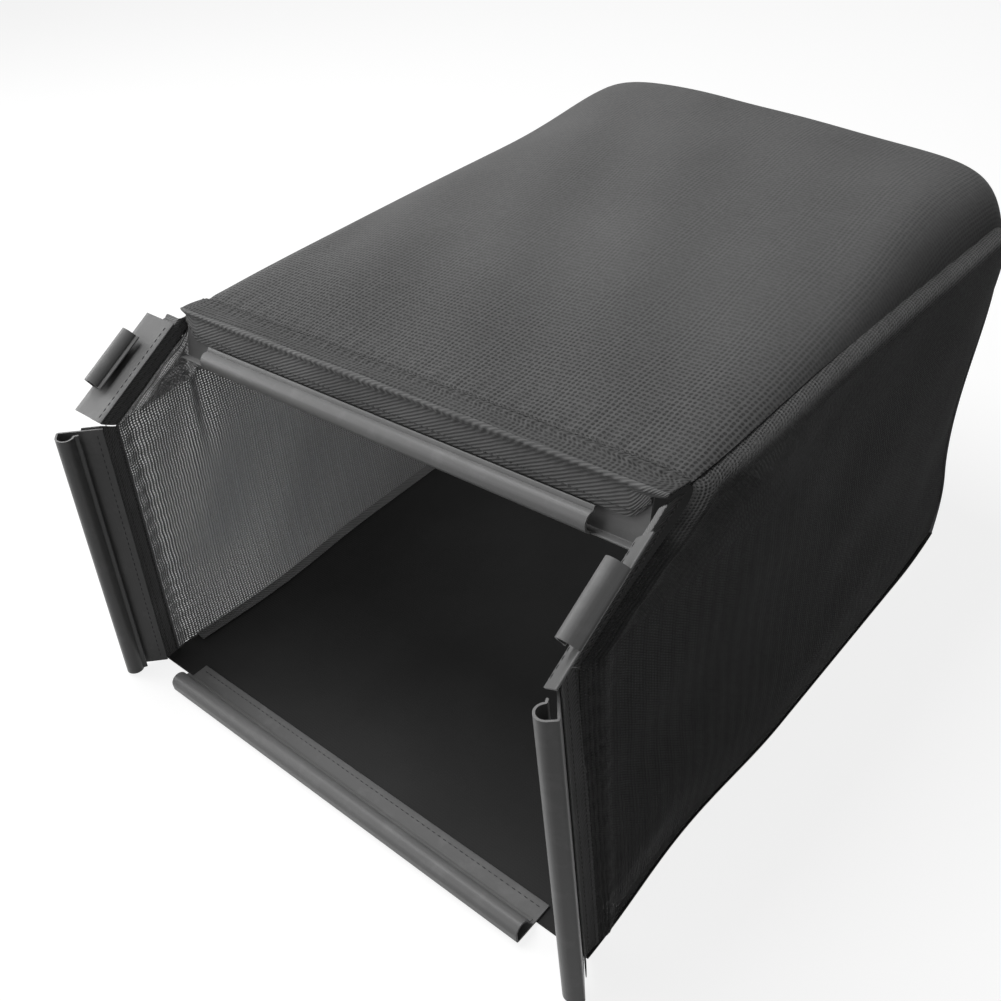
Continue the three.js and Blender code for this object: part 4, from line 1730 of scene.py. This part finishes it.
@dataclass
class Clip:
    """A channel clip, drawn through a die and sawn off at both ends."""

    place: ClipPlace
    section: ClipSection
    finishes: Finishes
    step: float = 9.0
    sharp: float = 40.0

    def stretch(self, low: float, high: float, cut: float | None,
                base: int) -> tuple[Points, list, Points, list]:
        """One stretch of the clip.

        Args:
            low: Start along the clip.
            high: End along the clip.
            cut: Height at which the section is cut off, or None.
            base: Number of points before this stretch.

        Returns:
            Its points, faces, places on the surface and material slots.
        """
        section = self.section.outline(cut)
        count = len(section)
        stops = np.linspace(low, high, max(2, int((high - low) / self.step) + 1))
        around = run_lengths(section[None], 1)[0]
        points = self.place.point(section[None, :, 0], section[None, :, 1], stops[:, None])
        uv = stack(around[None, :], stops[:, None])
        faces: list = []
        for i in range(base, base + (len(stops) - 1) * count, count):
            for j in range(count):
                k = (j + 1) % count
                faces.append([i + j, i + k, i + count + k, i + count + j])
        slots = [0] * len(faces) + [1, 1]
        last = base + (len(stops) - 1) * count
        faces.append(list(range(base + count - 1, base - 1, -1)))
        faces.append(list(range(last, last + count)))
        return points.reshape(-1, 3), faces, uv.reshape(-1, 2) * METRES, slots

    def build(self) -> bpy.types.Object:
        """Make the clip.

        Returns:
            The piece.
        """
        place = self.place
        half, hook = place.length / 2, place.hook_length / 2
        stretches = [(-hook, hook, None)]
        if half > hook:
            stretches += [(-half, -hook, place.end_wall), (hook, half, place.end_wall)]
        points: list[Points] = []
        faces: list = []
        uv: list[Points] = []
        slots: list = []
        for low, high, cut in stretches:
            made = self.stretch(low, high, cut, sum(len(part) for part in points))
            points.append(made[0])
            faces += made[1]
            uv.append(made[2])
            slots += made[3]
        mesh = mesh_of(place.name, np.concatenate(points), faces, np.concatenate(uv), slots,
                       sharp=self.sharp)
        finishes = [self.finishes.clip, self.finishes.sawn]
        piece = add_piece(f"{place.name}_vinyl", mesh, finishes)
        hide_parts(place.name)
        return piece


@dataclass
class TopHem:
    """The roof's front edge, folded over softly and sewn down over the top clip's flange.

    It is a narrow roll in front, with small puckers along its two rows of stitches. Each seam has
    the place, the reach and the strength of its puckers, as shares of the hem.
    """

    shape: BagShape
    finishes: Finishes
    section: ClipSection
    clip: ClipPlace
    columns: int = 330
    rows: int = 44
    hatched_rows: int = 18
    thickness: float = 1.3
    fold: float = 15.5
    fold_shares: tuple[float, ...] = (1.0, 0.66, 0.33, 0.0)
    fold_sag: float = 0.4
    end_fold_share: float = 0.25
    end_run: float = 14.0
    roof_clearance: float = 0.5
    puff: float = 2.0
    nose_reach: float = 2.4
    nose_lift: float = 0.55
    roll_shares: tuple[float, ...] = (0.08, 0.25, 0.42, 0.6, 0.78, 0.9, 1.0)
    roll_lifts: tuple[float, ...] = (0.95, 0.8, 0.4, 0.12, 0.0, 0.0, 0.0)
    pucker_seed: int = 61
    pucker_height: float = 0.3
    pucker_pitch: float = 7.5
    pucker_lengths: tuple[float, float] = (25.0, 90.0)
    pucker_wobble: float = 1.5
    lower_seam: tuple[float, float, float] = (0.3, 0.1, 0.4)
    upper_seam: tuple[float, float, float] = (0.82, 0.14, 1.0)
    uneven_seed: int = 62
    uneven_height: float = 0.5
    uneven_lengths: tuple[float, float] = (40.0, 120.0)
    uneven_width: float = 60.0
    seam_places: tuple[float, float] = (0.06, 0.93)

    def on_roof(self, across: Points, share: float, lift: Points | float) -> Points:
        """Points over the roof.

        Args:
            across: Shares of the half width.
            share: Share of the hem's width behind the roof's front edge.
            lift: Height over the roof's cloth.

        Returns:
            Points in millimetres.
        """
        row = np.full_like(across, share)
        out = self.shape.outline_out(row) * np.asarray(lift, float)[..., None]
        over = self.shape.shell(across, row)
        return self.shape.leaned(over + stack(0.0, out[..., 0], out[..., 1]))

    def rolled(self, across: Points, along: Points) -> Points:
        """The hem without its puckers, from its lower edge over the fold to its edge on the roof.

        Args:
            across: Shares of the half width.
            along: Distance along the top clip.

        Returns:
            Points in millimetres.
        """
        clear = self.section.wall / 2 + self.shape.gap + self.thickness / 2
        ends = np.sqrt(smooth((1 - np.abs(across)) * self.end_run))
        fold = self.fold * mix(self.end_fold_share, 1.0, ends)
        stops = []
        for k in self.fold_shares:
            sag = self.fold_sag * k * (1 - k)
            stops.append(self.clip.point(self.section.flange - fold * k, clear + sag, along))
        low = self.roof_clearance + self.thickness / 2
        roll = self.puff * ends
        nose = self.on_roof(across, 0.0, low + self.nose_lift * roll)
        stops.append(nose + stack(0.0, -self.nose_reach * ends, 0.0))
        for share, lift in zip(self.roll_shares, self.roll_lifts):
            stops.append(self.on_roof(across, share, low + lift * roll))
        return spline(np.stack(stops), self.rows)

    def grid(self) -> Points:
        """Middle points of the hem.

        Returns:
            Points in millimetres, as rows from its lower edge to its edge on the roof.
        """
        across = np.linspace(-1, 1, self.columns)
        along = across * self.clip.length / 2
        grid = self.rolled(across, along)
        walked = np.linspace(0, 1, self.rows)[:, None]
        wobble = Ripples(self.pucker_seed, *self.pucker_lengths).at(along[None, :], 0 * walked)
        pucker = np.sin(2 * math.pi * along / self.pucker_pitch + self.pucker_wobble * wobble)
        held = np.zeros_like(walked)
        for place, reach, strength in (self.upper_seam, self.lower_seam):
            held = held + strength * np.exp(-(((walked - place) / reach) ** 2))
        uneven = Ripples(self.uneven_seed, *self.uneven_lengths)
        uneven = self.uneven_height * uneven.at(along[None, :], self.uneven_width * walked)
        relief = self.pucker_height * pucker * held + uneven * np.sin(math.pi * walked)
        return grid + sheet_normals(grid) * relief[..., None]

    def build(self) -> list[bpy.types.Object]:
        """Make the hem and the two rows of stitches that hold it.

        Returns:
            The hem and its stitches.
        """
        grid = self.grid()
        mesh = sheet_mesh("top_hem", grid, soft_edges(self.rows, self.thickness)[:, None])
        laid = np.repeat(np.arange(self.rows - 1) >= self.hatched_rows, self.columns - 1)
        slots = np.zeros(len(mesh.polygons), dtype=np.int32)
        slots[:len(laid)] = laid
        mesh.polygons.foreach_set("material_index", slots)
        finishes = [self.finishes.hem, self.finishes.doubled]
        hem = add_piece("top_hem_cloth", mesh, finishes)
        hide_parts("top_hem")
        runs = [seam_line(grid, place, 0.5 * self.thickness, 0) for place in self.seam_places]
        threads = stitch_mesh("top_hem_threads", runs, pitch=4.6, length=3.4, width=0.55)
        finishes = [self.finishes.thread]
        return [hem, add_piece("top_hem_stitches", threads, finishes)]


@dataclass
class MouthTape:
    """Tape folded round a stretch of the mouth's edge: a clip's flange outside, the mesh inside."""

    shape: BagShape
    finishes: Finishes
    side: Side
    stretch: Stretch
    clip: ClipPlace
    low_trim: float
    high_trim: float
    thickness: float = 1.0
    margin: float = 14.0
    margin_shares: tuple[float, ...] = (1.0, 0.75, 0.5, 0.25, 0.05)
    inner_shares: tuple[float, ...] = (0.2, 0.45, 0.7)
    near_mesh: float = 0.95
    near_lift_share: float = 0.6
    mesh_clearance: float = 0.6
    lap: float = 2.0
    step: float = 1.6
    across: int = 19
    scallop: float = 0.5
    scallop_pitch: float = 4.2
    scallop_sharpness: int = 6
    seam_places: tuple[float, float] = (0.62, 0.88)

    def ends(self) -> tuple[Points, Points, Points, Points]:
        """The mouth's edge and the tape's line on the mesh, at the start and the end.

        Returns:
            The edge's start and end, and the line's start and end.
        """
        edge = self.shape.mouth_line(0.0)
        line = self.shape.mouth_line(self.shape.mouth_tape_width)
        low, high = self.stretch.value, self.stretch.value + 1
        spots = [edge[low], edge[high], line[low], line[high]]
        places = [self.shape.side_point(self.side, spot[0], spot[1]) for spot in spots]
        return places[0], places[1], places[2], places[3]

    def grid(self) -> Points:
        """Middle points of the tape.

        Returns:
            Points in millimetres, with rows along the mouth and columns towards the mesh.
        """
        start, end, inner_start, inner_end = self.ends()
        length = float(np.linalg.norm(end - start))
        low, high = self.low_trim / length, 1 - self.high_trim / length
        share = np.linspace(low, high, int(length / self.step))[:, None]
        bend = mix(start, end, share)
        inner = mix(inner_start, inner_end, share)
        ahead = unit(inner - bend)
        outward = unit(np.cross(ahead, end - start))
        outward = outward * np.sign(outward[:, :1] * self.side.value)
        lift = 0.5 * self.thickness + self.mesh_clearance
        stops = [bend - self.clip.back * self.margin * k for k in self.margin_shares]
        stops += [mix(bend, inner, k) for k in self.inner_shares]
        near_lift = lift * self.near_lift_share
        stops.append(mix(bend, inner, self.near_mesh) + outward * near_lift)
        stops.append(inner + ahead * self.lap + outward * lift)
        grid = spline(np.stack(stops, axis=1), self.across, axis=1)
        wave = np.sin(2 * math.pi * share * length / self.scallop_pitch)[..., None]
        edge = np.abs(np.linspace(-1, 1, self.across)) ** self.scallop_sharpness
        edge = edge[None, :, None]
        return grid + unit(np.gradient(grid, axis=1)) * wave * edge * self.scallop

    def build(self) -> list[bpy.types.Object]:
        """Make the tape and its rows of stitches.

        Returns:
            The tape and its stitches.
        """
        grid = self.grid()
        name = f"{self.side.word}_{self.stretch.word}_tape"
        thickness = soft_edges(self.across, self.thickness)
        mesh = sheet_mesh(name, grid, thickness, flip=self.side is Side.LEFT)
        finishes = [self.finishes.tape, self.finishes.tape]
        tape = add_piece(f"{name}_cloth", mesh, finishes)
        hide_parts(name)
        lift = 0.5 * self.thickness
        runs = [seam_line(grid, place, face * lift, 1)
                for place in self.seam_places for face in (1, -1)]
        threads = stitch_mesh(f"{name}_threads", runs, pitch=4.2, length=3.1, width=0.5)
        finishes = [self.finishes.thread]
        return [tape, add_piece(f"{name}_stitches", threads, finishes)]


@dataclass
class Bindings:
    """Narrow tapes over the seams inside the bag: two under the roof and three on the floor."""

    shape: BagShape
    finishes: Finishes
    width: float = 8.0
    thickness: float = 1.1
    across: int = 13
    roof_rows: int = 360
    floor_rows: int = 220
    back_rows: int = 200
    front_gap: float = 30.0
    clear: float = 0.9
    turned_up: float = 2.2

    def roof_grid(self, side: Side) -> Points:
        """Middle points of the tape along a side of the roof and the back.

        Args:
            side: The side of the bag.

        Returns:
            Points in millimetres.
        """
        shape = self.shape
        row = np.linspace(1, shape.last_row - 1, self.roof_rows)[:, None]
        outline = shape.outline(row)
        half = shape.half_width(outline[..., 0], outline[..., 1])
        x = half - shape.fabric - 2 * shape.gap - self.width * np.linspace(0, 1, self.across)
        depth = shape.seam_room + shape.fabric / 2 + self.thickness / 2 + 2 * shape.gap
        shell = shape.shell(side.value * x / (half + shape.seam_lap), row)
        inward = -shape.outline_out(row) * depth
        return shape.leaned(shell + stack(0.0, inward[..., 0], inward[..., 1]))

    def floor_grid(self, side: Side) -> Points:
        """Middle points of the tape along a side of the floor, a little turned up at the wall.

        Args:
            side: The side of the bag.

        Returns:
            Points in millimetres.
        """
        shape = self.shape
        end = shape.rear_y - self.width - 3 * shape.fabric
        y = np.linspace(shape.front_y + self.front_gap, end, self.floor_rows)[:, None]
        place = np.linspace(0, 1, self.across)
        x = shape.half_width(y, 0 * y) - shape.fabric - self.clear - self.width * place
        rise = self.clear + self.thickness / 2 + self.turned_up * (1 - place) ** 3
        return stack(side.value * x, y, shape.floor_top(y) + rise)

    def back_grid(self) -> Points:
        """Middle points of the tape along the back of the floor.

        Returns:
            Points in millimetres.
        """
        shape = self.shape
        half = shape.floor_half_width - 2 * shape.fabric - self.width
        x = np.linspace(-half, half, self.back_rows)[:, None]
        y = shape.rear_y - 2 * shape.fabric - self.width * np.linspace(0, 1, self.across)
        return stack(x, y, shape.floor_top(y) + self.clear + self.thickness / 2)

    def tape(self, name: str, grid: Points, flip: bool) -> list[bpy.types.Object]:
        """Make one tape and its row of stitches.

        Args:
            name: The name of the CAD piece that it replaces.
            grid: Its middle points.
            flip: Whether its outer face is on the other side of the grid.

        Returns:
            The tape and its stitches.
        """
        thickness = soft_edges(self.across, self.thickness)
        mesh = sheet_mesh(name, grid, thickness, flip=flip)
        finishes = [self.finishes.tape, self.finishes.tape]
        piece = add_piece(f"{name}_cloth", mesh, finishes)
        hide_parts(name)
        lift = 0.5 * self.thickness * (-1 if flip else 1)
        runs = [seam_line(grid, 0.5, lift, 1)]
        threads = stitch_mesh(f"{name}_threads", runs, pitch=5.0, length=3.6, width=0.5)
        finishes = [self.finishes.thread]
        return [piece, add_piece(f"{name}_stitches", threads, finishes)]

    def build(self) -> dict[str, list[bpy.types.Object]]:
        """Make all the bindings.

        Returns:
            The tapes and stitches, sorted by the cloth that they belong to.
        """
        roof = [self.tape(f"{side.word}_roof_binding", self.roof_grid(side), side is Side.RIGHT)
                for side in Side]
        floor = [self.tape(f"{side.word}_floor_binding", self.floor_grid(side), side is Side.LEFT)
                 for side in Side]
        floor.append(self.tape("back_floor_binding", self.back_grid(), True))
        return {"roof": sum(roof, []), "floor": sum(floor, [])}


@dataclass
class ClipStitches:
    """The rows of stitches that hold the clips' flanges to the cloth.

    The top clip has none of its own, because the hem's stitches hold it.
    """

    finishes: Finishes
    section: ClipSection
    places: dict[str, ClipPlace]
    inset: float = 4.0

    def run(self, place: ClipPlace) -> tuple[Points, Points]:
        """The line of stitches on the hook's side of a clip's flange.

        Args:
            place: Where the clip stands.

        Returns:
            The line's points and the directions out of the flange there.
        """
        half = place.length / 2 - self.inset
        along = np.linspace(-half, half, 40)
        line = place.point(self.section.flange - self.inset, self.section.wall / 2, along)
        return line, np.broadcast_to(place.up, line.shape)

    def build(self) -> bpy.types.Object:
        """Make the stitches.

        Returns:
            The piece.
        """
        runs = [self.run(place) for name, place in self.places.items() if name != "top_clip"]
        threads = stitch_mesh("clip_threads", runs, pitch=5.0, length=3.2, width=0.55)
        finishes = [self.finishes.thread]
        return add_piece("clip_flange_stitches", threads, finishes)


@dataclass(frozen=True)
class Softbox:
    """A square soft lamp that the camera doesn't see, in metres and watts."""

    name: str
    place: tuple[float, float, float]
    target: tuple[float, float, float]
    size: float
    power: float

    def build(self) -> None:
        """Make the lamp."""
        data = bpy.data.lights.new(self.name, "AREA")
        data.shape = "SQUARE"
        data.size = self.size
        data.energy = self.power
        lamp = bpy.data.objects.new(self.name, data)
        aim = Vector(self.target) - Vector(self.place)
        lamp.location = self.place
        lamp.rotation_euler = aim.to_track_quat("-Z", "Y").to_euler()
        lamp.visible_camera = False
        bpy.context.scene.collection.objects.link(lamp)


LAMPS = (
    Softbox("overhead_softbox", (-0.7, 0.05, 1.95), (0, 0, 0.15), size=1.2, power=26),
    Softbox("left_softbox", (-1.9, -0.8, 0.9), (0, 0, 0.15), size=1.2, power=19),
    Softbox("front_softbox", (-0.8, -1.8, 0.9), (0, 0, 0.1), size=0.9, power=4),
    # Stands for the light that real mesh lets through its yarn, which the two faces here block.
    Softbox("light_through_the_mesh", (-0.02, 0.1, 0.225), (-0.02, 0.1, 0.0), size=0.28, power=0.2),
)


@dataclass
class Studio:
    """The pale floor, the soft light and the camera at the photograph's viewing angle."""

    camera_place: tuple[float, float, float] = (464.047, -490.3785, 623.4268)
    camera_target: tuple[float, float, float] = (1.5174, -42.1483, 130.0)
    camera_roll: float = -7.92396
    camera_reach: float = 50.0
    sensor: float = 36.0
    focal_pixels: float = 1123.319
    photo_pixels: float = 1001.0
    room_light: float = 0.08
    paper: str = "f4f4f4"
    bounce: str = "8c8c8c"
    glow: float = 1.17
    glow_share: float = 0.72
    floor_reach: float = 6.0
    floor_drop: float = 0.0004

    def camera(self) -> None:
        """Make the camera."""
        data = bpy.data.cameras.new("camera")
        data.sensor_width = self.sensor
        data.sensor_fit = "HORIZONTAL"
        data.lens = self.focal_pixels / self.photo_pixels * self.sensor
        data.clip_end = self.camera_reach
        camera = bpy.data.objects.new("camera", data)
        place = Vector(self.camera_place) * METRES
        aim = Vector(self.camera_target) * METRES - place
        roll = Quaternion((0, 0, 1), math.radians(self.camera_roll))
        turn = aim.to_track_quat("-Z", "Y") @ roll
        camera.matrix_world = Matrix.LocRotScale(place, turn, None)
        bpy.context.scene.collection.objects.link(camera)
        bpy.context.scene.camera = camera

    def shown(self, tree: bpy.types.NodeTree) -> bpy.types.NodeSocket:
        """Tell what is shown from what only lights the bag.

        Args:
            tree: The node tree.

        Returns:
            A socket that is one for rays from the camera, in a reflection or through a clear thing.
        """
        path = node(tree, "ShaderNodeLightPath")
        seen = node(tree, "ShaderNodeMath", {
            0: path.outputs["Is Camera Ray"], 1: path.outputs["Is Glossy Ray"],
        }, operation="MAXIMUM")
        shown = node(tree, "ShaderNodeMath", {
            0: seen.outputs[0], 1: path.outputs["Is Transmission Ray"],
        }, operation="MAXIMUM")
        return shown.outputs[0]

    def world(self) -> None:
        """White all round to the eye and in reflections, and a dimmer white as light."""
        world = bpy.data.worlds.new("white_room")
        bpy.context.scene.world = world
        world.use_nodes = True
        tree = world.node_tree
        tree.nodes.clear()
        light = node(tree, "ShaderNodeBackground", {
            "Color": linear("ffffff"), "Strength": self.room_light,
        })
        white = node(tree, "ShaderNodeBackground", {"Color": linear("ffffff"), "Strength": 1.0})
        both = node(tree, "ShaderNodeMixShader", {
            0: self.shown(tree), 1: light.outputs[0], 2: white.outputs[0],
        })
        node(tree, "ShaderNodeOutputWorld", {"Surface": both.outputs[0]})

    def ground(self) -> None:
        """The studio's floor: pale paper that shows white and keeps a soft shadow."""
        material, tree = blank("studio_paper")
        paper = node(tree, "ShaderNodeBsdfDiffuse", {"Color": linear(self.paper)})
        bounce = node(tree, "ShaderNodeBsdfDiffuse", {"Color": linear(self.bounce)})
        glow = node(tree, "ShaderNodeEmission", {
            "Color": linear("ffffff"), "Strength": self.glow,
        })
        pale = node(tree, "ShaderNodeMixShader", {
            0: self.glow_share, 1: paper.outputs[0], 2: glow.outputs[0],
        })
        both = node(tree, "ShaderNodeMixShader", {
            0: self.shown(tree), 1: bounce.outputs[0], 2: pale.outputs[0],
        })
        node(tree, "ShaderNodeOutputMaterial", {"Surface": both.outputs[0]})
        mesh = bpy.data.meshes.new("studio_floor")
        reach = self.floor_reach
        corners = [(-reach, -reach, 0), (reach, -reach, 0), (reach, reach, 0), (-reach, reach, 0)]
        mesh.from_pydata(corners, [], [(0, 1, 2, 3)])
        mesh.materials.append(material)
        floor = bpy.data.objects.new("studio_floor", mesh)
        floor.location = (0, 0, -self.floor_drop)
        bpy.context.scene.collection.objects.link(floor)

    def build(self) -> None:
        """Make the whole studio."""
        self.camera()
        self.world()
        self.ground()
        for lamp in LAMPS:
            lamp.build()
        bpy.context.scene.view_settings.view_transform = "Standard"


def main() -> None:
    """Build the bag in order."""
    logging.basicConfig(level=logging.INFO, format="%(name)s %(message)s")
    Studio().build()
    shape = BagShape()
    finishes = Finishes()
    section = ClipSection()
    clips = ClipLayout(shape, section).places()
    roof_panel = RoofAndBack(shape, finishes)
    floor_panel = FloorPanel(shape, finishes)
    side_panels = {side: SidePanel(shape, finishes, side) for side in Side}
    roof, floor = roof_panel.build(), floor_panel.build()
    sides = {side: panel.build() for side, panel in side_panels.items()}
    for place in clips.values():
        Clip(place, section, finishes).build()
    ClipStitches(finishes, section, clips).build()
    hem = TopHem(shape, finishes, section, clips["top_clip"]).build()
    bindings = Bindings(shape, finishes).build()
    trims = {Stretch.SIDE: (0.0, 0.6), Stretch.CORNER: (0.6, 5.0)}
    for side in Side:
        tapes = []
        for stretch, (low, high) in trims.items():
            clip = clips[f"{side.word}_{stretch.word}_clip"]
            tapes += MouthTape(shape, finishes, side, stretch, clip, low, high).build()
        declare_sheet(sides[side], side_panels[side].grid(), tapes)
    on_roof = hem + bindings["roof"]
    declare_sheet(roof, roof_panel.grid(), on_roof)
    declare_sheet(floor, floor_panel.grid(), bindings["floor"])


if __name__ == "__main__":
    main()
